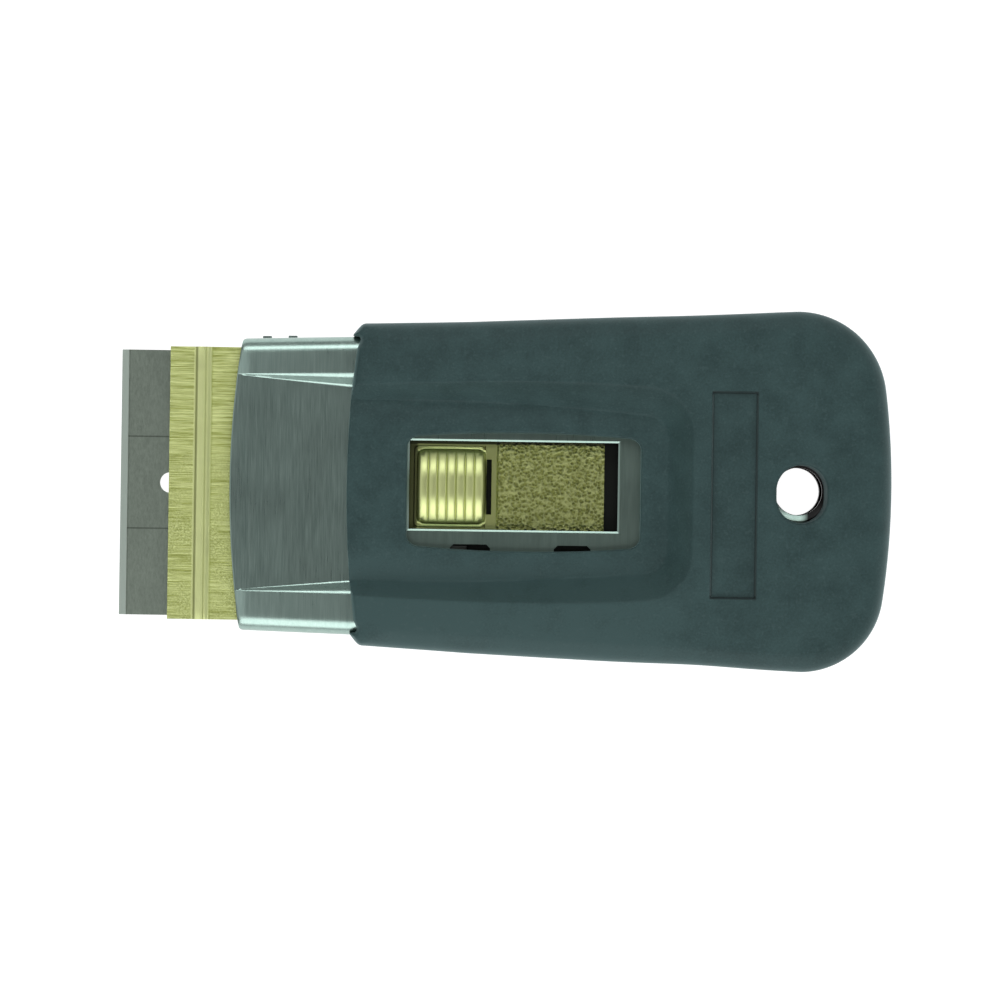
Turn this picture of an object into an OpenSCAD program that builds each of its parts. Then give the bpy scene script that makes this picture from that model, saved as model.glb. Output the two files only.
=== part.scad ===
// Retractable razor blade scraper: a thumb button slides a blade carrier in a rubber covered steel handle.
// X runs from the cutting edge to the tail, Z is up, and the grip rests on Z = 0.

/* [Blade] */
// Width of the blade along its cutting edge
blade_w = 38.1; // [36:0.1:39]
// Depth of the blade from cutting edge to back
blade_d = 19; // [18:0.1:20]
// Thickness of the blade
blade_t = 0.3; // [0.2:0.05:0.4]
// Width of each ground bevel
bevel_w = 1; // [0.6:0.1:1.4]
// Radius of the hole in the blade
blade_hole_r = 1.47; // [1.2:0.05:1.8]
// Distance from the cutting edge to the middle of that hole
blade_hole_d = 7.15; // [6.5:0.05:7.8]
// Depth of the folded spine on the back of the blade
spine_d = 5.2; // [4:0.1:6]
// Height of the folded spine
spine_h = 1.1; // [0.9:0.05:1.3]

/* [Handle] */
// Length of the rubber grip
grip_len = 77.5; // [75:0.1:84]
// How far the steel housing stands out of the grip
housing_out = 16.97; // [15:0.1:20]
// How far the cutting edge stands out of the housing
edge_out = 15.91; // [15:0.1:17]
// Rubber beside the housing at the front of the grip
grip_side = 2.1; // [1.8:0.05:3]
// How much wider the grip is at its tail than at its front
grip_flare = 5.4; // [4:0.1:8]
// Height of the grip's crest over the steel panel
crest_over = 5.3; // [4.9:0.1:6.5]
// Thickness of the rubber over the steel panel
skin_t = 1.4; // [1:0.05:1.7]
// Thickness of the rubber under the housing
rubber_floor = 1.8; // [1.2:0.1:2.4]
// Radius of the grip's rear corners
tail_r = 13; // [10:0.5:15]
// Radius of the hang hole
hang_r = 3.4; // [3:0.05:4]

/* [Steel housing] */
// Thickness of the housing sheet
sheet_t = 0.8; // [0.6:0.05:0.95]
// Height of the side ridges over the middle panel at the front
ridge_front_h = 0.6; // [0.4:0.05:0.9]
// Height of the side ridges over the middle panel in the grip
ridge_h = 1.9; // [1.5:0.05:2.1]
// Width of the flat top of each ridge
ridge_w = 5.15; // [4.4:0.1:5.6]

/* [Blade carrier] */
// Thickness of both carrier plates
plate_t = 0.6; // [0.5:0.05:0.8]
// How far the upper plate stands out of the housing
plate_out = 8.84; // [8:0.1:10]
// How far the lower plate is set back from the upper one
jaw_back = 2.2; // [1:0.1:3]
// Width of the bead across the upper plate
bead_w = 2.5; // [1.8:0.1:3]
// Height of the bead
bead_h = 0.32; // [0.2:0.02:0.4]
// Travel of the carrier, from locked out to drawn in
carrier_travel = 17.7; // [17:0.1:19]

/* [Thumb button] */
// Length of the button at its foot
button_len = 10.07; // [9:0.1:11]
// Width of the button at its foot
button_w = 11.56; // [10.5:0.1:12.5]
// Height of the button's crown over the carrier plate
button_rise = 3.1; // [2.6:0.1:3.6]
// Number of ribs across the button
button_ribs = 7; // [5:1:9]

/* [Latch spring] */
// Thickness of the leaf spring
spring_t = 0.4; // [0.3:0.05:0.5]
// Length of each latch lug
lug_len = 2.3; // [1.8:0.1:3]
// Width of each latch lug
lug_w = 0.8; // [0.6:0.05:1]

/* [Hidden] */
$fn = 48;
over = 1;
fit = 0.1;
slip = 0.05;

// Length of the whole tool, with its middle at X = 0
x_tail = (grip_len + housing_out + edge_out) / 2;
x_grip = x_tail - grip_len;
x_mouth = x_grip - housing_out;
x_edge = x_mouth - edge_out;

// Layers from the rubber floor up
rail_h = 0.15;
head_gap = 0.28;
channel_h = spine_h + 2 * slip;
base_top = rubber_floor + sheet_t;
jaw_z = base_top + rail_h + slip;
channel_z = jaw_z + plate_t;
blade_z = channel_z + channel_h / 2;
plate_z = channel_z + channel_h;
plate_top = plate_z + plate_t;
panel_z = plate_top + bead_h + head_gap;
panel_top = panel_z + sheet_t;
trough_z = panel_top + skin_t;
crest_z = panel_top + crest_over;

// Blade carrier, from the blade out
plate_lap = 0.5;
plate_w = blade_w + 2 * plate_lap;
x_plate = x_mouth - plate_out;
x_jaw = x_plate + jaw_back;
bead_gap = 3.5;
x_bead = x_plate + bead_gap;
bead_steps = 12;
body_end_gap = 6.8;
x_body_end = x_grip + body_end_gap;
rivet_r = 1.2;
boss_r = 2;
rivet_side_gap = 7.6;
rivet_y = plate_w / 2 - rivet_side_gap;
spring_rivet_gap = 3.5;
x_spring_rivet = x_body_end - spring_rivet_gap;

// Blade and its spine
spine_over = 0.15;
x_blade_back = x_edge + blade_d;
x_spine_back = x_blade_back + spine_over;
x_spine = x_spine_back - spine_d;
score_y = 6.6;
score_w = 0.2;
score_deep = 0.04;
x_rivet = x_spine_back + fit + boss_r;

// Thumb button in its opening
button_gap = 0.2;
button_front_gap = 9.4;
x_button = x_grip + button_front_gap;
x_button_end = x_button + button_len;
flange_t = 0.6;
flange_out = 1.2;
flange_z = plate_z - slip - flange_t;
foot_rise = 0.2;
foot_z = plate_top + foot_rise;
dome_front_in = 0.7;
dome_rear_in = 0.2;
dome_side_in = 0.7;
dome_drop = 0.8;
dome_end_r = 2.2;
dome_crown = 0.3;
rib_deep = 0.4;
rib_steps = 6;
cup_wall = 1.1;
cup_deep = 1.2;
rear_slot_len = 0.9;
rear_slot_w = 7.9;
rim_w = 0.7;
rim_h = 0.15;
button_top = plate_top + button_rise;
tongue_tail = 17.15;
x_tongue_end = x_button_end + tongue_tail;

// Thumb window in the steel panel, long enough for the travel
window_front_gap = 0.7;
window_rear_gap = 1.38;
window_side_gap = 0.55;
x_window = x_button - window_front_gap;
x_window_end = x_button_end + carrier_travel + window_rear_gap;
window_w = button_w + 2 * window_side_gap;
tongue_lap = 1.25;
tongue_w = window_w + 2 * tongue_lap;

// Latch lugs and the two pairs of slots that they stand in
lug_side_gap = 0.9;
slot_side_gap = 0.25;
slot_front_gap = 5.3;
slot_a_len = 5.8;
slot_b_len = 5.3;
lug_sink = 0.2;
x_lug = x_button + slot_front_gap;
lug_y = tongue_w / 2 + lug_side_gap;
slot_y = lug_y - slot_side_gap;
slot_w = lug_w + 2 * slot_side_gap;
x_slot_a = x_lug - fit;
x_slot_b = x_lug + lug_len + carrier_travel + fit - slot_b_len;
lug_top = panel_top - lug_sink;
spring_w = 8;
spring_front = 3.5;

// Steel housing
side_gap = 0.5;
housing_front_w = plate_w + 2 * (side_gap + sheet_t);
housing_taper_share = 0.025;
mouth_bow = 1.75;
mouth_steps = 6;
x_side = x_mouth + mouth_bow;
housing_tail_gap = 5.9;
housing_tail_r = 9;
tail_steps = 6;
x_shell_end = x_tail - housing_tail_gap;
ridge_roll_r = 0.86;
roll_steps = 4;
ridge_slope_share = 0.85;
ramp_len = 16;
facet_front_gap = 0.8;
facet_slope_share = 0.3;
ridge_deep = panel_top + ridge_h;
pip_len = 1.25;
pip_gap = 4.15;
pip_step = 3.7;
pip_out = 0.45;
pip_root = 1;
rail_side_gap = 4;
rail_w = 1.5;

// Hang hole and the rivets that join the two shells
hang_gap = 13.13;
x_hang = x_tail - hang_gap;
tail_rivet_gap = 6;
x_tail_rivet = x_hang - tail_rivet_gap;
tail_rivet_r = 1.5;
tail_boss_r = 2.4;
tail_rivet_y = 13;

// Rubber grip
mould_shift = 0.7;
grip_front_w = housing_front_w + 2 * grip_side;
grip_rear_w = grip_front_w + grip_flare;
grip_bow = 1.35;
corner_x = 1.4;
corner_y = 1.9;
top_round = 2.8;
low_round = 0.9;
edge_steps = 4;
front_round_share = 0.3;
front_steps = 5;
corner_steps = 3;
side_steps = 8;
arc_steps = 7;
rear_steps = 3;
tail_bulge_r = 110;
crest_gap = 22.4;
x_crest = x_tail - crest_gap;
shoulder_drop = 2.4;
tail_drop = 1.6;
trough_in = 2.5;
trough_narrow = 1.35;
trough_end_gap = 3.46;
trough_corner_r = 3;
trough_slope_share = 1.15;
rubber_window_side = 2.12;
rubber_window_front = 0.3;
rubber_window_rear = 3.2;
rubber_window_r = 1.6;
label_len = 6.3;
label_w = 29.1;
label_gap = 25.9;
label_sink = 0.4;
hang_long = 1.04;
hang_shift = 0.4;
hang_skin = 0.2;

// An outline in Y and Z, drawn out along X
module along_x(x0, x1) {
  translate([x0, 0, 0]) rotate([90, 0, 90]) linear_extrude(x1 - x0) children();
}

// An outline in X and Z, drawn out along Y on both sides of the middle
module along_y(w) {
  translate([0, w / 2, 0]) rotate([90, 0, 0]) linear_extrude(w) children();
}

// A block between two corners
module block(low, high) {
  translate(low) cube([high[0] - low[0], high[1] - low[1], high[2] - low[2]]);
}

// An upright round bar
module bar(x, y, r, z0, z1) {
  translate([x, y, z0]) cylinder(r = r, h = z1 - z0);
}

// The same piece at both sides of the middle
module both_sides() {
  children();
  mirror([0, 1, 0]) children();
}

// Points of a rectangle with round corners
function round_rect(x0, x1, y0, y1, r) = [
  for (c = [[x1 - r, y1 - r, 0], [x0 + r, y1 - r, 90], [x0 + r, y0 + r, 180], [x1 - r, y0 + r, 270]])
    for (i = [0:roll_steps]) let (a = c[2] + 90 * i / roll_steps) [c[0] + r * cos(a), c[1] + r * sin(a)]
];

// Half width of the housing at a place along X
function housing_half(x) = housing_front_w / 2 + housing_taper_share * (x - x_side);

// Outline of the housing from above, drawn in all round and let out at the mouth
function housing_pts(inset, reach) = let (
  r = housing_tail_r - inset,
  x_end = x_shell_end - inset,
  half = housing_half(x_end - r) - inset,
  front = housing_half(x_side - reach) - inset
) concat(
  [for (i = [-mouth_steps:mouth_steps]) let (s = i / mouth_steps) [x_mouth + mouth_bow * s * s - reach, -front * s]],
  [for (i = [0:tail_steps]) let (a = 90 * i / tail_steps - 90) [x_end - r + r * cos(a), r - half + r * sin(a)]],
  [for (i = [0:tail_steps]) let (a = 90 * i / tail_steps) [x_end - r + r * cos(a), half - r + r * sin(a)]]
);

// Cross-section of a ridge, from its outer face inward, with its crest at zero
function ridge_pts(inset) = let (
  roll = ridge_roll_r - inset,
  lean = sqrt(1 + ridge_slope_share * ridge_slope_share)
) concat(
  [[-inset, -ridge_deep]],
  [for (i = [0:roll_steps]) let (a = 90 * i / roll_steps) [roll * cos(a) - ridge_roll_r, roll * sin(a) - ridge_roll_r]],
  [[inset * (lean - ridge_slope_share) - ridge_w, -inset]],
  [[inset * lean - ridge_w - ridge_slope_share * ridge_deep, -ridge_deep]]
);

// A ridge's prism from the mouth back, with its crest at the given height and slope
module ridge_prism(inset, height, slope) {
  translate([x_side, housing_half(x_side), panel_top + height])
    rotate([0, 0, atan(housing_taper_share)]) rotate([0, -atan(slope), 0])
      along_x(-mouth_bow - over, x_tail - x_side) polygon(ridge_pts(inset));
}

// One ridge: it starts at the front facet, climbs to the grip and runs level from there
module ridge(inset) {
  lean = sqrt(1 + facet_slope_share * facet_slope_share);
  z_facet = panel_top - inset * lean;
  intersection() {
    ridge_prism(inset, ridge_front_h, (ridge_h - ridge_front_h) / ramp_len);
    ridge_prism(inset, ridge_h, 0);
    along_y(2 * housing_front_w) polygon([
      [x_mouth - 2 * over, 0], [x_mouth - 2 * over, z_facet], [x_mouth + facet_front_gap, z_facet],
      [x_mouth + facet_front_gap + 2 * ridge_h / facet_slope_share, z_facet + 2 * ridge_h],
      [x_tail, z_facet + 2 * ridge_h], [x_tail, 0]
    ]);
  }
}

// The housing's outer form, filled, or the room inside it
module housing_form(inset, reach, low) {
  intersection() {
    translate([0, 0, low]) linear_extrude(2 * crest_z) polygon(housing_pts(inset, reach));
    union() {
      block([x_mouth - reach - over, -housing_front_w, 0], [x_tail, housing_front_w, panel_top - inset]);
      both_sides() ridge(inset);
    }
  }
}

// The pips on the lower shell's edge, and the notches that they stand in
module pips(gap) {
  for (i = [0:1]) let (x = x_mouth + pip_gap + i * pip_step, y = housing_half(x))
    block([x - gap, y - pip_root - sheet_t, rubber_floor - gap], [x + pip_len + gap, y + pip_out + gap, base_top + gap]);
}

module latch_slots() {
  both_sides() for (s = [[x_slot_a, slot_a_len], [x_slot_b, slot_b_len]])
    block([s[0], slot_y, panel_z - over], [s[0] + s[1], slot_y + slot_w, panel_top + over]);
}

module housing_top() color([0.72, 0.73, 0.72]) {
  difference() {
    housing_form(0, 0, rubber_floor);
    housing_form(sheet_t, over, rubber_floor - over);
    block([x_window, -window_w / 2, panel_z - over], [x_window_end, window_w / 2, panel_top + over]);
    latch_slots();
    pips(fit);
    bar(x_hang, 0, hang_r, panel_z - over, panel_top + over);
    for (s = [-1, 1]) bar(x_tail_rivet, s * tail_rivet_y, tail_rivet_r + slip, panel_z - over, panel_top + over);
  }
}

module housing_base() color([0.66, 0.67, 0.66]) {
  rail_y = housing_front_w / 2 - rail_side_gap - rail_w;
  difference() {
    union() {
      translate([0, 0, rubber_floor]) linear_extrude(sheet_t) polygon(housing_pts(sheet_t + fit, 0));
      pips(0);
      both_sides() block([x_side, rail_y, base_top - sheet_t / 2], [x_tail_rivet - tail_boss_r - over, rail_y + rail_w,
        base_top + rail_h]);
    }
    bar(x_hang, 0, hang_r, rubber_floor - over, base_top + over);
    for (s = [-1, 1]) bar(x_tail_rivet, s * tail_rivet_y, tail_rivet_r + slip, rubber_floor - over, base_top + over);
  }
}

module tail_rivets() color([0.6, 0.61, 0.6]) {
  for (s = [-1, 1]) let (y = s * tail_rivet_y) {
    bar(x_tail_rivet, y, tail_rivet_r, rubber_floor, panel_top);
    bar(x_tail_rivet, y, tail_boss_r, base_top, panel_z);
  }
}

// Height of the raised bead at a place along X
function bead_z(i) = bead_h * pow(sin(180 * i / bead_steps), 2);

module carrier_plate() color([0.66, 0.68, 0.42]) {
  difference() {
    union() {
      along_y(plate_w) polygon(concat(
        [[x_plate, plate_top]],
        [for (i = [0:bead_steps]) [x_bead + bead_w * i / bead_steps, plate_top + bead_z(i)]],
        [[x_body_end, plate_top], [x_body_end, plate_z]],
        [for (i = [bead_steps:-1:0]) [x_bead + bead_w * i / bead_steps, plate_z + bead_z(i)]],
        [[x_plate, plate_z]]
      ));
      block([x_body_end - over, -tongue_w / 2, plate_z], [x_tongue_end, tongue_w / 2, plate_top]);
      block([x_button_end + button_gap + rear_slot_len, -rear_slot_w / 2, plate_z],
        [x_button_end + button_gap + rear_slot_len + rim_w, rear_slot_w / 2, plate_top + rim_h]);
    }
    block([x_button - button_gap, -button_w / 2 - button_gap, plate_z - over],
      [x_button_end + button_gap, button_w / 2 + button_gap, plate_top + over]);
    block([x_button_end, -rear_slot_w / 2, plate_z - over],
      [x_button_end + button_gap + rear_slot_len, rear_slot_w / 2, plate_top + over]);
    for (s = [-1, 1]) bar(x_rivet, s * rivet_y, rivet_r + slip, plate_z - over, plate_top + over);
    bar(x_spring_rivet, 0, rivet_r + slip, plate_z - over, plate_top + over);
  }
}

module carrier_jaw() color([0.62, 0.64, 0.4]) {
  difference() {
    block([x_jaw, -plate_w / 2, jaw_z], [x_body_end, plate_w / 2, channel_z]);
    for (s = [-1, 1]) bar(x_rivet, s * rivet_y, rivet_r + slip, jaw_z - over, channel_z + over);
    bar(x_spring_rivet, 0, rivet_r + slip, jaw_z - over, channel_z + over);
  }
}

module carrier_rivets() color([0.6, 0.61, 0.6]) {
  for (s = [-1, 1]) let (y = s * rivet_y) {
    bar(x_rivet, y, rivet_r, jaw_z, plate_top);
    bar(x_rivet, y, boss_r, channel_z, plate_z);
  }
}

module spring_rivet() color([0.6, 0.61, 0.6]) {
  bar(x_spring_rivet, 0, rivet_r, jaw_z, plate_top);
  bar(x_spring_rivet, 0, boss_r, channel_z + spring_t, plate_z);
}

module latch_spring() color([0.55, 0.56, 0.56]) {
  difference() {
    union() {
      block([x_spring_rivet - spring_front, -spring_w / 2, channel_z], [x_lug + lug_len, spring_w / 2, channel_z + spring_t]);
      block([x_lug, -lug_y - lug_w, channel_z], [x_lug + lug_len, lug_y + lug_w, channel_z + spring_t]);
      both_sides() block([x_lug, lug_y, channel_z], [x_lug + lug_len, lug_y + lug_w, lug_top]);
    }
    bar(x_spring_rivet, 0, rivet_r + slip, channel_z - over, channel_z + spring_t + over);
  }
}

// Side view of the ribbed dome
module dome_side() {
  x0 = x_button + dome_front_in;
  len = button_len - dome_front_in - dome_rear_in;
  n = button_ribs * rib_steps;
  polygon(concat(
    [[x0, plate_z]],
    [for (i = [0:n]) let (s = i / n, mid = 2 * s - 1)
      [x0 + len * s, button_top - dome_drop * mid * mid - rib_deep * (1 - abs(sin(180 * button_ribs * s)))]],
    [[x0 + len, plate_z]]
  ));
}

// End view of the dome, with its rounded ends
module dome_end() {
  half = button_w / 2 - dome_side_in;
  arc = [for (i = [0:roll_steps]) let (a = 90 * i / roll_steps)
    [half - dome_end_r + dome_end_r * cos(a), button_top - dome_crown - dome_end_r + dome_end_r * sin(a)]];
  polygon(concat(
    [[half, plate_z]], arc, [[0, button_top + over]],
    [for (i = [roll_steps:-1:0]) [-arc[i][0], arc[i][1]]], [[-half, plate_z]]
  ));
}

module thumb_button() color([0.7, 0.71, 0.44]) {
  difference() {
    union() {
      block([x_button - flange_out, -button_w / 2 - flange_out, flange_z], [x_button_end, button_w / 2 + flange_out,
        flange_z + flange_t]);
      block([x_button, -button_w / 2, flange_z], [x_button_end, button_w / 2, foot_z]);
      intersection() {
        along_y(button_w) dome_side();
        along_x(x_button, x_button_end) dome_end();
      }
    }
    block([x_button + cup_wall, cup_wall - button_w / 2, flange_z - over], [x_button_end - cup_wall,
      button_w / 2 - cup_wall, foot_z + cup_deep]);
  }
}

module razor_blade() color([0.62, 0.64, 0.64]) {
  t = blade_t / 2;
  difference() {
    along_y(blade_w) polygon([
      [x_edge, blade_z], [x_edge + bevel_w, blade_z + t], [x_blade_back, blade_z + t],
      [x_blade_back, blade_z - t], [x_edge + bevel_w, blade_z - t]
    ]);
    bar(x_edge + blade_hole_d, 0, blade_hole_r, blade_z - over, blade_z + over);
    for (s = [-1, 1]) block([x_edge + bevel_w, s * score_y - score_w / 2, blade_z + t - score_deep],
      [x_spine, s * score_y + score_w / 2, blade_z + over]);
  }
}

module blade_spine() color([0.5, 0.51, 0.51]) {
  difference() {
    block([x_spine, -blade_w / 2, blade_z - spine_h / 2], [x_spine_back, blade_w / 2, blade_z + spine_h / 2]);
    block([x_spine - over, -blade_w, blade_z - blade_t / 2], [x_blade_back, blade_w, blade_z + blade_t / 2]);
  }
}

// Height of the grip's back at a place along X
function grip_top(x) = x < x_crest
  ? crest_z - shoulder_drop * pow((x_crest - x) / (x_crest - x_grip), 2)
  : crest_z - tail_drop * pow((x - x_crest) / (x_tail - x_crest), 2);

// Half outline of the grip from its front middle round to its tail middle, each place with its way inward
function grip_half() = let (
  lip = grip_front_w / 2 - corner_y,
  x_lip = x_grip + grip_bow,
  cy = grip_rear_w / 2 - tail_r,
  turn = asin(cy / (tail_bulge_r - tail_r)),
  cx = x_tail - tail_bulge_r + (tail_bulge_r - tail_r) * cos(turn),
  lean = atan((grip_rear_w - grip_front_w) / 2 / (cx - x_lip - corner_x)),
  x0 = x_lip + corner_x,
  y0 = grip_front_w / 2,
  x1 = cx - tail_r * sin(lean),
  y1 = cy + tail_r * cos(lean)
) concat(
  [for (i = [0:front_steps]) let (s = i / front_steps) [x_grip + grip_bow * s * s, lip * s, front_round_share, -s]],
  [for (i = [1:corner_steps]) let (a = 90 * i / (corner_steps + 1))
    [x0 - corner_x * cos(a), lip + corner_y * sin(a), front_round_share * cos(a), -1]],
  [for (i = [0:side_steps]) let (s = i / side_steps) [x0 + (x1 - x0) * s, y0 + (y1 - y0) * s, 0, -1]],
  [for (i = [1:arc_steps]) let (a = 90 + lean - (90 + lean - turn) * i / arc_steps)
    [cx + tail_r * cos(a), cy + tail_r * sin(a), -cos(a), -sin(a)]],
  [for (i = [1:rear_steps]) let (a = turn * (1 - i / rear_steps))
    [x_tail - tail_bulge_r + tail_bulge_r * cos(a), tail_bulge_r * sin(a), -cos(a), -sin(a)]]
);

// The whole outline drawn in by d, at the height that h gives over the floor or, from the top, under the back
function grip_ring(half, d, h, from_top) = let (
  n = len(half) - 1,
  side = [for (p = half) let (x = p[0] + p[2] * d) [x, p[1] + p[3] * d, from_top ? grip_top(p[0]) - h : h]]
) concat(side, [for (i = [n - 1:-1:1]) [side[i][0], -side[i][1], side[i][2]]]);

// The grip's outer form: a stack of outlines with rounded edges at the floor and along the back
module grip_form() {
  half = grip_half();
  n = len(half) - 1;
  m = 2 * n;
  rings = concat(
    [for (i = [0:edge_steps]) let (a = 90 * i / edge_steps)
      grip_ring(half, low_round * (1 - sin(a)), low_round * (1 - cos(a)), false)],
    [for (i = [0:edge_steps]) let (a = 90 * i / edge_steps)
      grip_ring(half, top_round * (1 - cos(a)), top_round * (1 - sin(a)), true)]
  );
  k = len(rings) - 1;
  polyhedron(
    points = [for (r = rings) for (p = r) p],
    faces = concat(
      [[for (i = [m - 1:-1:0]) i]],
      [for (j = [0:k - 1]) for (i = [0:m - 1]) let (a = j * m + i, b = j * m + (i + 1) % m) [a, b, b + m]],
      [for (j = [0:k - 1]) for (i = [0:m - 1]) let (a = j * m + i, b = j * m + (i + 1) % m) [a, b + m, a + m]],
      [[k * m, k * m + 1, k * m + m - 1]],
      [for (i = [1:n - 2]) [k * m + i, k * m + i + 1, k * m + m - i - 1, k * m + m - i]],
      [[k * m + n - 1, k * m + n, k * m + n + 1]]
    )
  );
}

// The trough round the thumb window: its floor is flat and its walls lean out as they rise
module trough() {
  rise = crest_z - trough_z;
  lean = trough_slope_share * rise;
  front = housing_front_w / 2 - ridge_w - trough_in;
  rear = front - trough_narrow;
  x_end = x_window_end + rubber_window_rear + trough_end_gap;
  x0 = x_grip - over;
  function ring(grow, z) = let (r = trough_corner_r + grow, x = x_end - trough_corner_r, y = rear - trough_corner_r) concat(
    [[x0, -front - grow, z]],
    [for (i = [0:roll_steps]) let (a = 90 * i / roll_steps - 90) [x + r * cos(a), r * sin(a) - y, z]],
    [for (i = [0:roll_steps]) let (a = 90 * i / roll_steps) [x + r * cos(a), y + r * sin(a), z]],
    [[x0, front + grow, z]]
  );
  low = ring(0, trough_z);
  high = ring(lean, trough_z + rise);
  n = len(low);
  translate([0, -mould_shift, 0]) polyhedron(
    points = concat(low, high),
    faces = concat(
      [[for (i = [0:n - 1]) i]],
      [for (i = [0:n - 1]) [(i + 1) % n, i, n + i]],
      [for (i = [0:n - 1]) [(i + 1) % n, n + i, n + (i + 1) % n]],
      [[for (i = [2 * n - 1:-1:n]) i]]
    )
  );
}

module grip_sleeve() color([0.23, 0.29, 0.29]) {
  difference() {
    grip_form();
    housing_form(-fit, over, rubber_floor);
    trough();
    translate([0, -mould_shift, panel_z]) linear_extrude(crest_z)
      polygon(round_rect(x_window - rubber_window_front, x_window_end + rubber_window_rear,
        -window_w / 2 - rubber_window_side, window_w / 2 + rubber_window_side, rubber_window_r));
    block([x_tail - label_gap, -mould_shift - label_w / 2, crest_z - label_sink],
      [x_tail - label_gap + label_len, label_w / 2 - mould_shift, crest_z + over]);
    for (s = [-1, 1]) bar(x_hang, s * hang_long / 2 - hang_shift, hang_r + hang_skin, -over, crest_z + over);
    block([x_hang - hang_r - hang_skin, -hang_shift - hang_long / 2, -over],
      [x_hang + hang_r + hang_skin, hang_long / 2 - hang_shift, crest_z + over]);
  }
}

grip_sleeve();
housing_top();
housing_base();
tail_rivets();
carrier_plate();
carrier_jaw();
carrier_rivets();
spring_rivet();
latch_spring();
thumb_button();
razor_blade();
blade_spine();
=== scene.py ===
import bpy
import bmesh
import numpy as np
from math import sin, cos, asin, atan, exp, pi, radians, sqrt
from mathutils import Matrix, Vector, geometry


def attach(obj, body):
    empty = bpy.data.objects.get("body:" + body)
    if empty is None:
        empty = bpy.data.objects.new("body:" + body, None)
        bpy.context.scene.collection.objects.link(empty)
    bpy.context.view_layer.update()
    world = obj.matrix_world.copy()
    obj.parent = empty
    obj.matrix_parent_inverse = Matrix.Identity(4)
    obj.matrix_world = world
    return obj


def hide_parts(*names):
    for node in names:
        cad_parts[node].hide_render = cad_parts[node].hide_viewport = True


# Looks of the razor blade scraper. Lengths are millimetres, and a mesh is made metres as it is finished.
mm = 0.001
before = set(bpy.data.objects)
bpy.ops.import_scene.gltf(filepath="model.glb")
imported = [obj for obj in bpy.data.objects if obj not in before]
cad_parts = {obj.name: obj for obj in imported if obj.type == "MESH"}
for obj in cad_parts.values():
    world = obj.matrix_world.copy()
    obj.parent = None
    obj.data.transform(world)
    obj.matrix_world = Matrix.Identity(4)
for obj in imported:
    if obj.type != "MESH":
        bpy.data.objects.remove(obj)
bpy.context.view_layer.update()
print("frame loaded")


class Wire:
    # one socket of a shader, so that a pattern is written as a sum
    def __init__(self, finish, socket):
        self.finish, self.socket = finish, socket

    def op(self, operation, *others, clamp=False):
        settings = {"operation": operation, "use_clamp": clamp}
        return self.finish.node("ShaderNodeMath", settings, [self, *others])

    def __add__(self, other):
        return self.op("ADD", other)

    def __sub__(self, other):
        return self.op("SUBTRACT", other)

    def __rsub__(self, other):
        return self.finish.node("ShaderNodeMath", {"operation": "SUBTRACT"}, [other, self])

    def __mul__(self, other):
        return self.op("MULTIPLY", other)

    def __truediv__(self, other):
        return self.op("DIVIDE", other)

    def __abs__(self):
        return self.op("ABSOLUTE")

    __radd__, __rmul__ = __add__, __mul__

    def clamped(self):
        return self.op("ADD", 0.0, clamp=True)

    def above(self, level, soft):
        # 0 below the level and 1 over it, with a soft step
        return ((self - (level - soft / 2)) / soft).clamped()

    def below(self, level, soft):
        return 1 - self.above(level, soft)

    def around(self, level, half, soft):
        # 1 within half of the level
        return abs(self - level).below(half, soft)


class Finish:
    # a procedural material, built a node at a time
    def __init__(self, name, **fixed):
        self.material = bpy.data.materials.new(name)
        self.material.use_nodes = True
        self.tree = self.material.node_tree
        self.surface = self.tree.nodes["Principled BSDF"]
        for label, value in fixed.items():
            self.surface.inputs[label.replace("_", " ")].default_value = value
        coord = self.tree.nodes.new("ShaderNodeTexCoord")
        self.place = Wire(self, coord.outputs["Object"])
        parts = self.tree.nodes.new("ShaderNodeSeparateXYZ")
        self.tree.links.new(coord.outputs["Object"], parts.inputs[0])
        self.x, self.y, self.z = (Wire(self, parts.outputs[i]) for i in range(3))

    def node(self, kind, settings, values, out=0):
        made = self.tree.nodes.new(kind)
        for label, value in settings.items():
            setattr(made, label, value)
        pairs = values.items() if isinstance(values, dict) else enumerate(values)
        for label, value in pairs:
            if isinstance(value, Wire):
                self.tree.links.new(value.socket, made.inputs[label])
            else:
                made.inputs[label].default_value = value
        return Wire(self, made.outputs[out])

    def noise(self, sx, sy, sz, detail=2.0, rough=0.5):
        # noise whose grains are 1/sx by 1/sy by 1/sz millimetres
        spread = [self.place, (sx / mm, sy / mm, sz / mm)]
        spread = self.node("ShaderNodeVectorMath", {"operation": "MULTIPLY"}, spread)
        values = {"Vector": spread, "Scale": 1.0, "Detail": detail, "Roughness": rough}
        return self.node("ShaderNodeTexNoise", {}, values)

    def pebbles(self, size, smooth):
        values = {"Vector": self.place, "Scale": 1 / (size * mm), "Smoothness": smooth}
        return self.node("ShaderNodeTexVoronoi", {"feature": "SMOOTH_F1"}, values)

    def blend(self, share, first, second):
        return self.node("ShaderNodeMix", {"data_type": "RGBA"}, {0: share, 6: first, 7: second}, out=2)

    def bump(self, height, depth, strength):
        values = {"Strength": strength, "Distance": depth * mm, "Height": height}
        return self.node("ShaderNodeBump", {}, values)

    def feed(self, label, wire):
        self.tree.links.new(wire.socket, self.surface.inputs[label])


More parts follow.
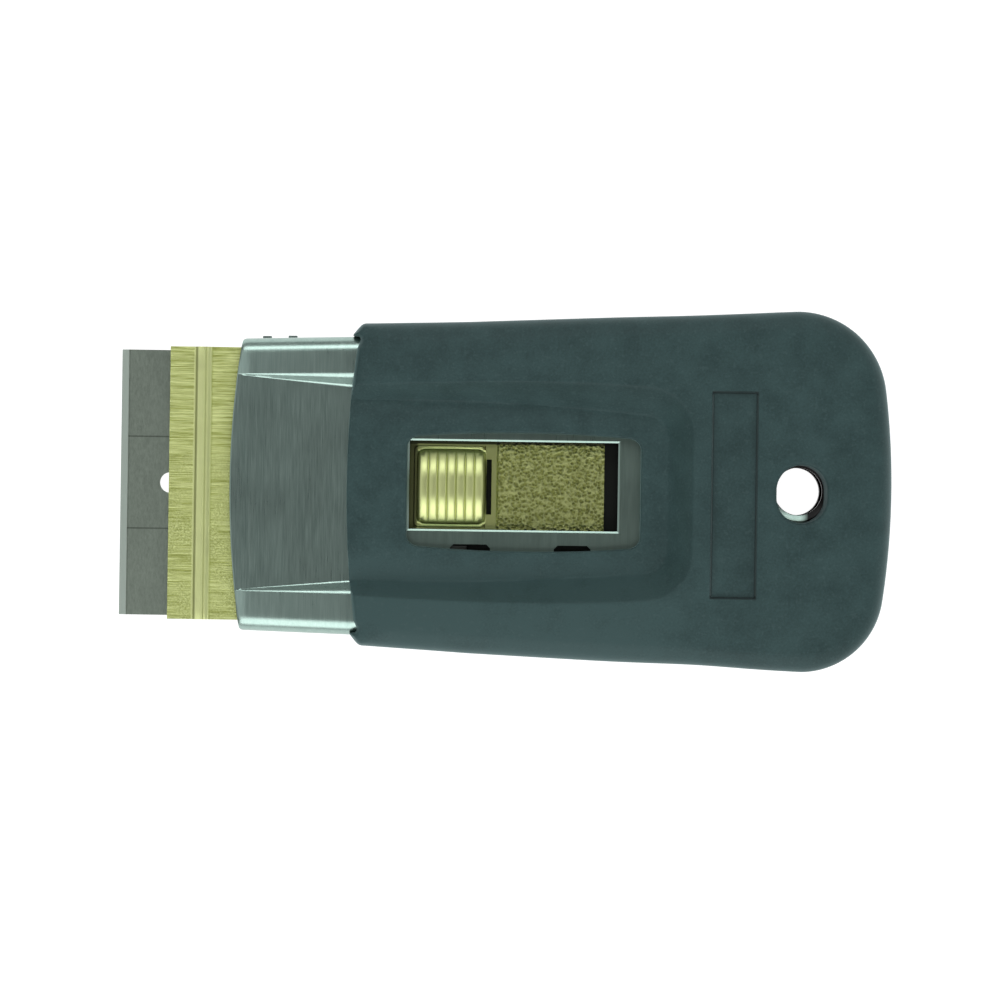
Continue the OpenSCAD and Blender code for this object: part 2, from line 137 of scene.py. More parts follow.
def gripRubber():
    mix = {"dark": (0.014, 0.035, 0.035, 1), "light": (0.031, 0.065, 0.065, 1),
           "dust": (0.06, 0.095, 0.095, 1), "deep": (0.003, 0.004, 0.004, 1), "sheen": (0.65, 0.95, 0.95, 1),
           "hole": (42.06, -0.4, 3.7, 0.52), "holeTop": 10.9, "label": (32.44, -0.7, 3.15, 14.55),
           "labelLow": 10.0, "labelShade": 0.14, "paintedLightSide": -10.0, "paintedLightEnd": 24.0}
    f = Finish("gripRubber", Metallic=0.0, Coat_Weight=0.0, Specular_IOR_Level=0.25, Sheen_Weight=0.3,
               Sheen_Roughness=0.45, Sheen_Tint=mix["sheen"])
    cloud = f.noise(0.25, 0.25, 0.25, detail=3.0)
    grain = f.noise(3.2, 3.2, 3.2, detail=3.0, rough=0.65)
    specks = f.noise(1.6, 1.6, 1.6, detail=1.0).above(0.66, 0.08)
    share = (cloud * 0.5 + grain * 0.5).above(0.5, 0.35)
    # painted shade: the hang hole's wall is painted nearly black
    cx, cy, radius, straight = (v * mm for v in mix["hole"])
    across, down = f.x - cx, (abs(f.y - cy) - straight).op("MAXIMUM", 0.0)
    deep = (across * across + down * down).op("SQRT").below(radius, 0.1 * mm)
    deep = deep * f.z.below(mix["holeTop"] * mm, 0.3 * mm)
    # painted shade along the label's edge, where the recess meets the skin, spreading a little over its floor
    cx, cy, halfX, halfY = (v * mm for v in mix["label"])
    past = (abs(f.x - cx) - halfX).op("MAXIMUM", abs(f.y - cy) - halfY)
    labelShade = abs(past).below(mix["labelShade"] * mm, 0.14 * mm) * 0.62
    labelShade = labelShade + past.below(0.0, 0.1 * mm) * (past.above(-0.6 * mm, 0.9 * mm) * 0.2 + 0.05)
    labelShade = labelShade * f.z.above(mix["labelLow"] * mm, 0.3 * mm)
    # painted light: one side is painted a little paler, as if lit more from that side
    paintedLight = f.y.below(mix["paintedLightSide"] * mm, 5 * mm) * f.x.below(mix["paintedLightEnd"] * mm, 16 * mm) * 0.55
    skin = f.blend((share + paintedLight).clamped(), mix["dark"], mix["light"])
    skin = f.blend(specks * 0.14, skin, mix["dust"])
    f.feed("Base Color", f.blend((deep + labelShade).clamped(), skin, mix["deep"]))
    f.feed("Roughness", (0.48 + grain * 0.16 + cloud * 0.1 + deep * 0.5).clamped())
    f.feed("Normal", f.bump(grain, 0.03, 0.5))
    return f.material


def brushedSteel():
    mix = {"dark": (0.265, 0.37, 0.335, 1), "light": (0.39, 0.51, 0.465, 1),
           "inside": (0.05, 0.055, 0.05, 1), "stripShade": (0.20, 0.28, 0.24, 1), "rim": (0.01, 0.01, 0.01, 1),
           "insideZ": (2.2, 5.75), "insideY": 19.7, "stripShadeFrom": (-17.0, 6.5), "rimX": (37.5, 47.2),
           "rimY": 4.8, "rimShade": (42.9, 2.2)}
    f = Finish("brushedSteel", Metallic=1.0)
    fine = f.noise(7.0, 0.22, 7.0, detail=3.0, rough=0.6)
    broad = f.noise(1.3, 0.06, 1.3, detail=2.0)
    smear = f.noise(0.12, 0.12, 0.12, detail=2.0)
    share = (fine * 0.65 + broad * 0.35).above(0.5, 0.5)
    # painted shade: the steel down inside the housing is painted near black, where light hardly reaches
    low, high = (v * mm for v in mix["insideZ"])
    within = f.z.below(high, 0.1 * mm) * f.z.above(low, 0.2 * mm)
    within = within * abs(f.y).below(mix["insideY"] * mm, 0.3 * mm)
    # painted shade: the strip round the window, down in the rubber, is painted darker where the rubber's
    # walls keep the light off
    fromX, fromZ = (v * mm for v in mix["stripShadeFrom"])
    stripShade = f.x.above(fromX, 3 * mm) * f.z.above(fromZ, 0.1 * mm)
    # the rim that shows in the hang hole is in the rubber's shade behind
    shadeX, shadeY = (v * mm for v in mix["rimShade"])
    start, end = (v * mm for v in mix["rimX"])
    rim = (f.x.above(shadeX, 1.2 * mm) + f.y.above(shadeY, 0.6 * mm)).clamped()
    rim = rim * f.x.above(start, 0.2 * mm) * f.x.below(end, 0.2 * mm)
    rim = rim * abs(f.y).below(mix["rimY"] * mm, 0.2 * mm)
    outside = f.blend(stripShade * 0.65, f.blend(share, mix["dark"], mix["light"]), mix["stripShade"])
    f.feed("Base Color", f.blend(rim, f.blend(within, outside, mix["inside"]), mix["rim"]))
    f.feed("Roughness", 0.2 + fine * 0.13 + smear * 0.08)
    f.feed("Normal", f.bump(fine, 0.006, 0.6))
    return f.material


def rivetSteel():
    mix = {"dark": (0.40, 0.41, 0.41, 1), "light": (0.58, 0.59, 0.58, 1)}
    f = Finish("rivetSteel", Metallic=1.0)
    grain = f.noise(4.0, 4.0, 4.0, detail=3.0)
    f.feed("Base Color", f.blend(grain, mix["dark"], mix["light"]))
    f.feed("Roughness", 0.3 + grain * 0.2)
    f.feed("Normal", f.bump(grain, 0.01, 0.4))
    return f.material


def yellowPlating():
    # olive yellow, scratched along the tool in front, pebbled behind the button, smooth on bead and button
    mix = {"deep": (0.31, 0.35, 0.095, 1), "pale": (0.68, 0.74, 0.355, 1), "brown": (0.15, 0.165, 0.045, 1),
           "shade": (0.02, 0.02, 0.01, 1), "bead": (-44.7, -42.1), "grooves": (-44.42, -42.99, -42.13),
           "scratchedTo": -18.0, "pebbledFrom": -1.0, "backFrom": 5.9, "windowHalf": 6.1, "windowFrom": -15.0,
           "gap": (-13.9, -12.5)}
    f = Finish("yellowPlating", Metallic=1.0, Coat_Weight=0.35, Coat_Roughness=0.3)
    lines = f.noise(0.14, 5.5, 5.5, detail=4.0, rough=0.7)
    fine = f.noise(0.3, 12.0, 12.0, detail=2.0, rough=0.6)
    grains = f.noise(3.4, 4.2, 4.2, detail=3.0, rough=0.7)
    cloud = f.noise(0.2, 0.2, 0.2, detail=2.0)
    front = f.x.below(mix["scratchedTo"] * mm, 1 * mm)
    beadStart, beadEnd = (v * mm for v in mix["bead"])
    offBead = 1 - f.x.above(beadStart, 0.2 * mm) * f.x.below(beadEnd, 0.2 * mm)
    scratched = front * offBead
    pebbled = f.x.above(mix["pebbledFrom"] * mm, 0.3 * mm)
    pebbles = f.pebbles(0.44, 0.5)
    dimples = f.noise(2.6, 2.6, 2.6, detail=3.0, rough=0.6)
    # on one side the scratches give way to a fine crackle
    crackle = (cloud.above(0.5, 0.15) * f.y.below(2 * mm, 8 * mm)).clamped()
    marks = (lines * 0.62 + fine * 0.38).above(0.5, 0.2) * (1 - crackle * 0.75)
    marks = marks + grains.above(0.5, 0.3) * crackle * 0.75
    pits = (pebbles + dimples * 0.7).above(0.75, 0.8)
    onBack = f.z.above(mix["backFrom"] * mm, 0.4 * mm)
    hue = cloud * 0.3 + 0.26 + (marks - 0.5) * 1.1 * scratched + (pits - 0.5) * 3.0 * pebbled
    # the raised bead is painted paler, partly as rubbed wear and partly as a painted highlight on its flanks
    hue = hue + (1 - offBead) * 0.55
    # painted shade: dark lines are painted in the bead's creases
    for groove in mix["grooves"]:
        hue = hue - f.x.around(groove * mm, 0.12 * mm, 0.16 * mm) * 0.45
    # painted light: the button's back is painted paler so that it reads brighter
    hue = (hue + onBack * 0.32).clamped()
    wearAndPaintedLight = f.blend(hue, mix["deep"], mix["pale"])
    shaded = (cloud.above(0.66, 0.2) * 0.15 + pebbled * (0.98 - pits * 0.25)).clamped()
    # painted shade: the window's edge shades what lies under it, and the gap in front of the button's foot is
    # painted dark too
    edge = abs(f.y).above(mix["windowHalf"] * mm, 0.12 * mm) * f.x.above(mix["windowFrom"] * mm, 0.2 * mm)
    gapStart, gapEnd = (v * mm for v in mix["gap"])
    edge = (edge + f.x.above(gapStart, 0.2 * mm) * f.x.below(gapEnd, 0.3 * mm) * 0.8).clamped()
    f.feed("Base Color", f.blend(edge * 0.93, f.blend(shaded, wearAndPaintedLight, mix["brown"]), mix["shade"]))
    rough = 0.38 + 0.12 * front + marks * 0.12 * scratched
    f.feed("Roughness", rough + pebbled * 0.04 + onBack * cloud * 0.14)
    relief = marks * 0.45 * scratched + (pebbles + dimples * 0.8) * pebbled * 6.0
    f.feed("Normal", f.bump(relief, 0.06, 0.9))
    return f.material


def springSteel():
    # painted shade: the spring steel is painted near black, where it shows through the lock slots in shade
    mix = {"dark": (0.03, 0.032, 0.03, 1), "light": (0.10, 0.11, 0.10, 1)}
    f = Finish("springSteel", Metallic=1.0)
    grain = f.noise(0.4, 5.0, 5.0, detail=3.0)
    f.feed("Base Color", f.blend(grain, mix["dark"], mix["light"]))
    f.feed("Roughness", 0.32 + grain * 0.2)
    return f.material


def bladeSteel():
    mix = {"dark": (0.26, 0.31, 0.26, 1), "light": (0.38, 0.45, 0.38, 1), "ground": (0.42, 0.49, 0.44, 1),
           "line": (0.10, 0.12, 0.10, 1), "edge": -55.19, "bevel": 1.0, "score": 6.6}
    f = Finish("bladeSteel", Metallic=1.0)
    streak = f.noise(4.0, 1.4, 4.0, detail=4.0, rough=0.7)
    cloud = f.noise(0.3, 0.12, 0.3, detail=2.0)
    bevelEnd = mix["edge"] + mix["bevel"]
    ground = f.x.below(bevelEnd * mm, 0.05 * mm)
    share = (streak * 0.7 + cloud * 0.3).above(0.5, 0.5)
    shoulder = f.x.around((bevelEnd + 0.1) * mm, 0.11 * mm, 0.06 * mm)
    score = abs(f.y).around(mix["score"] * mm, 0.1 * mm, 0.08 * mm) * (1 - ground)
    body = f.blend(share, mix["dark"], mix["light"])
    body = f.blend((shoulder * 0.25 + score * 0.6).clamped(), body, mix["line"])
    f.feed("Base Color", f.blend(ground, body, mix["ground"]))
    f.feed("Roughness", 0.3 + streak * 0.12 + ground * 0.08)
    f.feed("Normal", f.bump(streak, 0.004, 0.5))
    return f.material


def spineSteel():
    mix = {"dark": (0.26, 0.27, 0.27, 1), "light": (0.42, 0.43, 0.43, 1)}
    f = Finish("spineSteel", Metallic=1.0)
    grain = f.noise(2.0, 0.3, 2.0, detail=3.0)
    f.feed("Base Color", f.blend(grain, mix["dark"], mix["light"]))
    f.feed("Roughness", 0.34 + grain * 0.16)
    return f.material


finishes = {"grip_rubber": gripRubber(), "brushed_steel": brushedSteel(), "rivet_steel": rivetSteel(),
            "yellow_plating": yellowPlating(), "spring_steel": springSteel(), "blade_steel": bladeSteel(),
            "spine_steel": spineSteel()}
print("materials made:", len(finishes))


def softMin(a, b, k):
    h = np.clip(0.5 + 0.5 * (b - a) / k, 0, 1)
    return b + (a - b) * h - k * h * (1 - h)


def softMax(a, b, k):
    return -softMin(-a, -b, k)


def smoothStep(t):
    t = np.clip(t, 0, 1)
    return t * t * (3 - 2 * t)


def roundRectRing(x0, x1, y0, y1, r, grow=0.0, steps=8, gap=1.0):
    # closed ring of a rectangle with round corners, let out by grow, with a point at least every gap
    rr = max(r + grow, 0.001)
    ring = []
    corners = ((x1 - r, y1 - r, 0), (x0 + r, y1 - r, 90), (x0 + r, y0 + r, 180), (x1 - r, y0 + r, 270))
    for cx, cy, a0 in corners:
        for i in range(steps + 1):
            a = radians(a0 + 90 * i / steps)
            ring.append((cx + rr * cos(a), cy + rr * sin(a)))
    return spaced(ring, gap)


def spaced(ring, gap):
    out = []
    for i, start in enumerate(ring):
        a, b = Vector(start), Vector(ring[(i + 1) % len(ring)])
        steps = max(1, int((b - a).length / gap + 0.5))
        out += [tuple(a.lerp(b, j / steps)) for j in range(steps)]
    return out


def rectDistance(x, y, x0, x1, y0, y1, r):
    # distance from points to a rectangle with round corners, below 0 inside it
    dx = np.abs(x - (x0 + x1) / 2) - (x1 - x0) / 2 + r
    dy = np.abs(y - (y0 + y1) / 2) - (y1 - y0) / 2 + r
    return np.hypot(np.maximum(dx, 0), np.maximum(dy, 0)) + np.minimum(np.maximum(dx, dy), 0) - r


def ringDistance(x, y, ring):
    # distance from points to a closed ring
    best = np.full(len(x), 1e9)
    starts = np.array(ring)
    for a, b in zip(starts, np.roll(starts, -1, axis=0)):
        d = b - a
        t = np.clip(((x - a[0]) * d[0] + (y - a[1]) * d[1]) / max(d @ d, 1e-12), 0, 1)
        best = np.minimum(best, np.hypot(x - a[0] - t * d[0], y - a[1] - t * d[1]))
    return best


def insideRing(x, y, ring):
    starts = np.array(ring)
    hit = np.zeros(len(x), bool)
    for (ax, ay), (bx, by) in zip(starts, np.roll(starts, -1, axis=0)):
        cross = (ay > y) != (by > y)
        with np.errstate(divide="ignore", invalid="ignore"):
            at = (bx - ax) * (y - ay) / (by - ay) + ax
        hit ^= cross & (x < at)
    return hit


def cutPatch(rings, lines, grid, clear, keep):
    # flat triangles between rings and lines that all stay as edges, with a grid of points between them
    points, edges = [], []
    for ring in rings:
        first = len(points)
        points += ring
        edges += [(first + i, first + (i + 1) % len(ring)) for i in range(len(ring))]
    for line in lines:
        first = len(points)
        points += line
        edges += [(first + i, first + i + 1) for i in range(len(line) - 1)]
    taken = np.array(points)
    for gx, gy in grid:
        if np.min((taken[:, 0] - gx) ** 2 + (taken[:, 1] - gy) ** 2) > clear * clear:
            points.append((gx, gy))
    found = geometry.delaunay_2d_cdt([Vector(p) for p in points], edges, [], 0, 1e-6)
    xy = np.array([(v.x, v.y) for v in found[0]])
    tris = np.array([tuple(f) for f in found[2]])
    mid = xy[tris].mean(axis=1)
    return xy, tris[keep(mid[:, 0], mid[:, 1])]


def addPatch(bm, xy, tris, z):
    # the patch's triangles become faces that look up
    used = sorted(set(tris.flatten().tolist()))
    made = {i: bm.verts.new((xy[i][0], xy[i][1], z[i])) for i in used}
    for a, b, c in tris:
        up = (xy[b][0] - xy[a][0]) * (xy[c][1] - xy[a][1]) - (xy[b][1] - xy[a][1]) * (xy[c][0] - xy[a][0]) > 0
        corners = (made[a], made[b], made[c])
        bm.faces.new(corners if up else corners[::-1])


def openEdges(bm, near):
    # edges with one face whose middle passes the test
    return [e for e in bm.edges if len(e.link_faces) == 1 and near(*((e.verts[0].co + e.verts[1].co) / 2))]


def wallRows(bm, edges, rows):
    # draws open edges on through rows, each a function from a point's start to its place
    for row in rows:
        starts = dict.fromkeys(v for e in edges for v in e.verts)
        ends = {v: bm.verts.new(row(v.co.copy())) for v in starts}
        for loop in [e.link_loops[0] for e in edges]:
            # the new face turns the same way as the one it hangs on
            a, b = loop.link_loop_next.vert, loop.vert
            bm.faces.new((a, b, ends[b], ends[a]))
        edges = [bm.edges.get([ends[v] for v in e.verts]) for e in edges]
    return edges


def gridFaces(bm, rows, closed=False):
    # quads between rows of points, each row as long as the next
    net = [[bm.verts.new(p) for p in row] for row in rows]
    n = len(rows[0])
    for a, b in zip(net, net[1:]):
        for i in range(n if closed else n - 1):
            bm.faces.new((a[i], a[(i + 1) % n], b[(i + 1) % n], b[i]))
    return net


def capped(bm, net):
    for row in (net[0], net[-1]):
        bm.faces.new(row)


def finished(name, bm, slot, sharp=35, weld=1e-4):
    # a mesh in millimetres becomes a piece in metres, with its faces outward and its finish on
    bmesh.ops.remove_doubles(bm, verts=bm.verts, dist=weld)
    bmesh.ops.recalc_face_normals(bm, faces=bm.faces)
    bmesh.ops.scale(bm, vec=(mm, mm, mm), verts=bm.verts)
    mesh = bpy.data.meshes.new(name)
    bm.to_mesh(mesh)
    bm.free()
    obj = bpy.data.objects.new(name, mesh)
    bpy.context.scene.collection.objects.link(obj)
    mesh.materials.append(finishes[slot])
    smoothed(obj, sharp)
    return obj


def smoothed(obj, sharp):
    mesh = obj.data
    mesh.polygons.foreach_set("use_smooth", [True] * len(mesh.polygons))
    mesh.set_sharp_from_angle(angle=radians(sharp))


def plain(obj):
    # the object's modifiers become its mesh
    seen = obj.evaluated_get(bpy.context.evaluated_depsgraph_get())
    mesh = bpy.data.meshes.new_from_object(seen)
    old = obj.data
    obj.modifiers.clear()
    obj.data = mesh
    mesh.name = obj.name
    bpy.data.meshes.remove(old)


def carve(obj, cutters, operation="DIFFERENCE"):
    for cutter in cutters:
        cut = obj.modifiers.new("cut", "BOOLEAN")
        cut.operation, cut.object, cut.solver = operation, cutter, "EXACT"
        plain(obj)
    for cutter in cutters:
        bpy.data.objects.remove(cutter)


def soften(obj, width, segments, angle):
    bevel = obj.modifiers.new("soft edges", "BEVEL")
    bevel.width, bevel.segments, bevel.limit_method = width * mm, segments, "ANGLE"
    bevel.angle_limit, bevel.harden_normals = radians(angle), False
    bevel.use_clamp_overlap = True
    plain(obj)


def evenNormals(obj, sharp):
    # large faces keep their own normals, so that a bevel's gleam stays on the bevel
    smoothed(obj, sharp)
    even = obj.modifiers.new("even normals", "WEIGHTED_NORMAL")
    even.keep_sharp, even.weight = True, 100
    plain(obj)


def prism(name, ring, z0, z1):
    bm = bmesh.new()
    capped(bm, gridFaces(bm, [[(x, y, z) for x, y in ring] for z in (z0, z1)], closed=True))
    return finished(name, bm, "rivet_steel")


def lathe(name, x, y, profile, steps=64):
    # an upright turned solid about a point, from its radii and heights
    bm = bmesh.new()
    turns = [2 * pi * i / steps for i in range(steps)]
    rows = [[(x + r * cos(a), y + r * sin(a), z) for a in turns] for r, z in profile]
    capped(bm, gridFaces(bm, rows, closed=True))
    return finished(name, bm, "rivet_steel")


def hand(piece, body, slot, *nodes):
    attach(piece, body)
    if nodes:
        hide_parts(*nodes)


steel = {"mouth": -39.28, "bow": 1.62, "lip": 0.07, "sideX": -37.53, "half": 20.85, "taper": 0.025,
         "tail": 49.29, "tailR": 9, "panelTop": 6.6, "low": 1.8, "sheet": 0.8, "roll": 2.2, "cornerR": 0.45,
         "shift": 0.2, "nearSide": 0.17, "shiftEnd": (16.7, 1.7), "ridgeIn": (15.5, 0.35), "frontRidge": 0.22,
         "ridge": 1.5, "ramp": 16.0, "arc": 0.95, "fillet": 0.5, "flank": 45.0, "facetStart": 1.15,
         "facetSlope": 0.25, "window": (-13.61, 16.24, 6.33), "edge": (0.25, 0.11),
         "slots": ((-7.71, -1.91), (7.19, 12.49)), "slotY": (8.23, 9.53), "slotCut": 0.55,
         "hang": (42.06, ((3.4, 3), (3.4, 6.15), (3.46, 6.22), (4.4, 6.7))),
         "rivets": (36.06, 13, ((1.55, 3), (1.55, 7)))}
# the stations along the shell: how far behind the mouth, and places further back
mouthSteps = (0, 0.16, 0.6, 0.8, 1.0, 1.25, 1.5, 1.8, 2.15, 2.5, 2.85, 3.2, 3.6, 4.1, 4.8)
backPlaces = (-10.5, -5, 1, 4, 10, 19, 24, 29, 34, 38, 42, 45, 47.5)


def housingHalf(x):
    return steel["half"] + steel["taper"] * (x - steel["sideX"])


def ridgeRise(x):
    facet = steel["facetSlope"] * (x - steel["mouth"] - steel["facetStart"])
    low, full = steel["frontRidge"], steel["ridge"]
    climb = low + (full - low) * (x - steel["sideX"]) / steel["ramp"]
    rise = softMin(softMin(facet, climb, 0.12), np.full_like(facet, full), 0.12)
    return np.maximum(rise, 0.0)


def ridgeSide(h):
    # the ridge's inner side is an arc, a flat flank and a fillet, all as large as its rise asks for
    h, turn = np.maximum(h, 0.02), radians(steel["flank"])
    arc, fillet = h * steel["arc"], h * steel["fillet"]
    run = (h - (arc + fillet) * (1 - cos(turn))) / sin(turn) * cos(turn) + (arc + fillet) * sin(turn)
    return steel["ridgeIn"][0] + steel["ridgeIn"][1] * h, arc, fillet, turn, run


def panelHeight(x, y):
    s = steel
    w, h = housingHalf(x), ridgeRise(x)
    ay, (top, arc, fillet, turn, run) = np.abs(y), ridgeSide(h)
    u = top - ay
    convex = h - arc + np.sqrt(arc ** 2 - np.clip(u, 0, arc) ** 2)
    flank = h - arc * (1 - cos(turn)) - (u - arc * sin(turn)) * sin(turn) / cos(turn)
    concave = fillet - np.sqrt(fillet ** 2 - np.clip(run - u, 0, fillet) ** 2)
    z = np.where(u < arc * sin(turn), convex, np.where(run - u < fillet * sin(turn), concave, flank))
    over = np.clip((ay - (w - s["roll"])) / s["roll"], 0, 1)
    return s["panelTop"] + np.maximum(z, 0) - s["roll"] * (1 - np.sqrt(1 - over * over))


def housingRows(grow, front, inset=0.0):
    # stations along the tool, each a row of points over the panel and down both sides
    s = steel
    shiftStart, shiftRun = s["shiftEnd"]
    xs = sorted({s["mouth"] + d for d in mouthSteps} | {s["mouth"] + 5.6 + 1.35 * i for i in range(13)}
                | set(backPlaces) | {s["window"][0], s["window"][1], s["tail"]}
                | {x for slot in s["slots"] for x in slot}
                | {s["tail"] - s["tailR"] + s["tailR"] * sin(radians(a)) for a in (20, 40, 55, 66)})
    rows = []
    for x0 in xs:
        fade = 1 - float(smoothStep((x0 - s["mouth"]) / (s["window"][0] - 2 - s["mouth"])))
        w = float(housingHalf(x0 + s["bow"] * fade))
        h = float(ridgeRise(np.array([x0 + s["bow"] * fade]))[0])
        top, arc, fillet, turn, run = (float(v) for v in ridgeSide(h))
        foot = top - run
        # from the side's roll over the ridge and its inner side to the middle, with each one's turn
        ys = [(w - s["roll"] + s["roll"] * cos(radians(a)), a) for a in range(0, 91, 10)]
        ys += [(y, 90) for y in (w - 2.7, w - 3.3, w - 3.9)]
        ys += [(top - arc * sin(turn * i / 7), 90) for i in range(8)]
        ys += [(foot + fillet * sin(turn * (1 - i / 6)), 90) for i in range(7)]
        ys += [(y, 90) for y in (foot - 0.3, foot - 0.8, 11.2, s["slotY"][1], s["slotY"][0], 7.2,
                                 s["window"][2], 4.2, 2.1, 0.0)]
        rounded = max(0.0, s["tailR"] ** 2 - max(0.0, x0 - s["tail"] + s["tailR"]) ** 2)
        narrow = (w - s["tailR"] + sqrt(rounded)) / w
        half = []
        for y, a in ys:
            edge = max(0.0, y - (w - s["cornerR"]))
            lead = s["bow"] * (y / w) ** 2 + s["cornerR"] - sqrt(max(0.0, s["cornerR"] ** 2 - edge ** 2))
            x = x0 + lead * fade
            z = float(panelHeight(np.array([x]), np.array([y]))[0])
            if x0 == s["mouth"]:
                x, z = x - front, z - s["lip"]
            if inset:
                x -= inset if x0 == s["tail"] else 0
                y, z = y - inset * cos(radians(a)), z - inset * sin(radians(a))
            half.append((x, y * narrow + (grow if y > 12 else 0), z + grow))
        x, y, z = half[0]
        wall = (0, 0, 0, 0) if x0 == s["tail"] else (0, 0.35, 0.7, 0.9)
        half = [(x, y, s["low"] + (z - s["low"]) * t) for t in wall] + half
        row = half + [(x, -y, z) for x, y, z in half[-2::-1]]
        # the panel's pressed form lies a little to one side
        moved = []
        for x, y, z in row:
            toSide = float(smoothStep((abs(y) - shiftStart) / shiftRun))
            toNear = float(smoothStep((-y - shiftStart) / shiftRun))
            moved.append((x, y + s["shift"] * (1 - toSide) - s["nearSide"] * toNear, z))
        rows.append(moved)
    rows.append([(x, y, s["low"]) for x, y, z in rows[-1]])
    return rows


def housingShell():
    s = steel
    bm = bmesh.new()
    outer, inner = gridFaces(bm, housingRows(0.0, 0.0)), gridFaces(bm, housingRows(0.0, 0.0, s["sheet"]))
    under = {a: b for ra, rb in zip(outer, inner) for a, b in zip(ra, rb)}
    # the window, along lines of the grid
    x0, x1, windowHalf = s["window"]
    centres = {face: face.calc_center_median() for face in bm.faces}
    gone = [face for face, c in centres.items() if x0 < c.x < x1 and abs(c.y - s["shift"]) < windowHalf]
    bmesh.ops.delete(bm, geom=gone, context="FACES_ONLY")
    # the window's burnished edge is a flat chamfer, whose foot is a row of points of its own
    run, drop = s["edge"]
    middle = Vector(((x0 + x1) / 2, s["shift"], 0))
    reach = Vector(((x1 - x0) / 2, windowHalf, 0))
    foot = {}
    for v in dict.fromkeys(v for e in bm.edges if len(e.link_faces) == 1 for v in e.verts if v in under):
        away = v.co - middle
        side = [(1 if away[i] > 0 else -1) * (abs(abs(away[i]) - reach[i]) < 0.02) for i in (0, 1)]
        if abs(away.x) < reach.x + 0.02 and abs(away.y) < reach.y + 0.02:
            foot[v] = bm.verts.new((v.co.x, v.co.y, v.co.z - drop))
            v.co.x, v.co.y = v.co.x + run * side[0], v.co.y + run * side[1]
    for e in [e for e in bm.edges if len(e.link_faces) == 1 and e.verts[0] in under and e.verts[1] in under]:
        a, b = e.verts
        c, d = foot.get(b, b), foot.get(a, a)
        if a in foot and b in foot:
            bm.faces.new((a, b, c, d))
        bm.faces.new((d, c, under[b], under[a]))
    bmesh.ops.delete(bm, geom=[v for v in bm.verts if not v.link_faces], context="VERTS")
    shell = finished("housingShell", bm, "brushed_steel", sharp=60)
    # a dished hang hole, the rivets' holes, and lock slots whose corners are cut off
    hangX, dish = s["hang"]
    rivetX, rivetY, drill = s["rivets"]
    holes = [lathe("hangCut", hangX, 0, dish)]
    holes += [lathe("rivetCut", rivetX, y, drill) for y in (rivetY, -rivetY)]
    (near, far), cut = s["slotY"], s["slotCut"]
    for a, b in s["slots"]:
        for side in (1, -1):
            ring = ((a, far), (a, near + cut), (a + cut, near), (b - cut, near), (b, near + cut), (b, far))
            holes.append(prism("slotCut", [(x, y * side) for x, y in ring], 5, 7))
    carve(shell, holes)
    evenNormals(shell, 22)
    hand(shell, "handle", "brushed_steel", "housing_top")


def housingFill(grow):
    # the housing's form filled, which is the room it takes in the rubber
    bm = bmesh.new()
    low = steel["low"] - grow
    net = gridFaces(bm, [[(x, y, low if z <= steel["low"] else z) for x, y, z in row]
                         for row in housingRows(grow, 3.0)[:-1]])
    capped(bm, net)
    for a, b in zip(net, net[1:]):
        bm.faces.new((a[0], b[0], b[-1], a[-1]))
    return finished("housingFill", bm, "grip_rubber", weld=1e-5)


housingShell()
print("housing made")


grip = {"front": -22.51, "tail": 55.19, "frontHalf": 23.05, "rearHalf": 25.65, "bow": 1.35, "cornerX": 1.1,
        "cornerY": 1.9, "tailR": (12.8, 11.7), "aside": (0.15, -0.12), "waist": (0.1, 0.25), "bulgeR": 110.0,
        "corner": ((0.1, -1.0), (0.25, -0.75), (0.3, -0.35), (0.05, -0.1), (-0.62, 0.0), (-0.74, 0.12),
                   (-0.66, 0.3), (-0.32, 0.75), (0.07, 1.23), (0.42, 1.6), (0.72, 1.81)),
        "widenRun": 66, "crest": 11.9, "crestX": 32.79, "shoulderDrop": 2.4, "tailDrop": 1.6, "flatHalf": 11,
        "sideDrop": ((-22, 0.75), (-10, 1.4), (10, 1.25), (30, 0.55), (55, 0.4)),
        "topRound": 2.8, "frontRound": 0.84, "lowRound": 0.9, "shift": -0.7, "troughZ": 8.0,
        "floorFall": (0.8, 7, 6), "footHalf": 13.2, "footNarrow": 2.24, "footBend": 2.7, "footEnd": 22.9,
        "wallRun": (1.75, 2.4, 1.15), "wallFoot": 0.45, "troughR": 3.0, "outerEnd": 26.7,
        "window": (-13.91, 19.44, 8.45, 1.6), "windowRound": 0.3, "windowBow": 0.75, "windowLow": 6.2,
        "label": (29.29, 35.59, 14.55), "labelDeep": 0.4, "hang": (42.06, -0.4, 3.6, 0.52), "hangRound": 0.55,
        "room": 0.1}


def gripTop(x):
    g = grip
    ahead = g["crest"] - g["shoulderDrop"] * ((g["crestX"] - x) / (g["crestX"] - g["front"])) ** 2
    behind = g["crest"] - g["tailDrop"] * ((x - g["crestX"]) / (g["tail"] - g["crestX"])) ** 2
    return np.where(x < g["crestX"], ahead, behind)


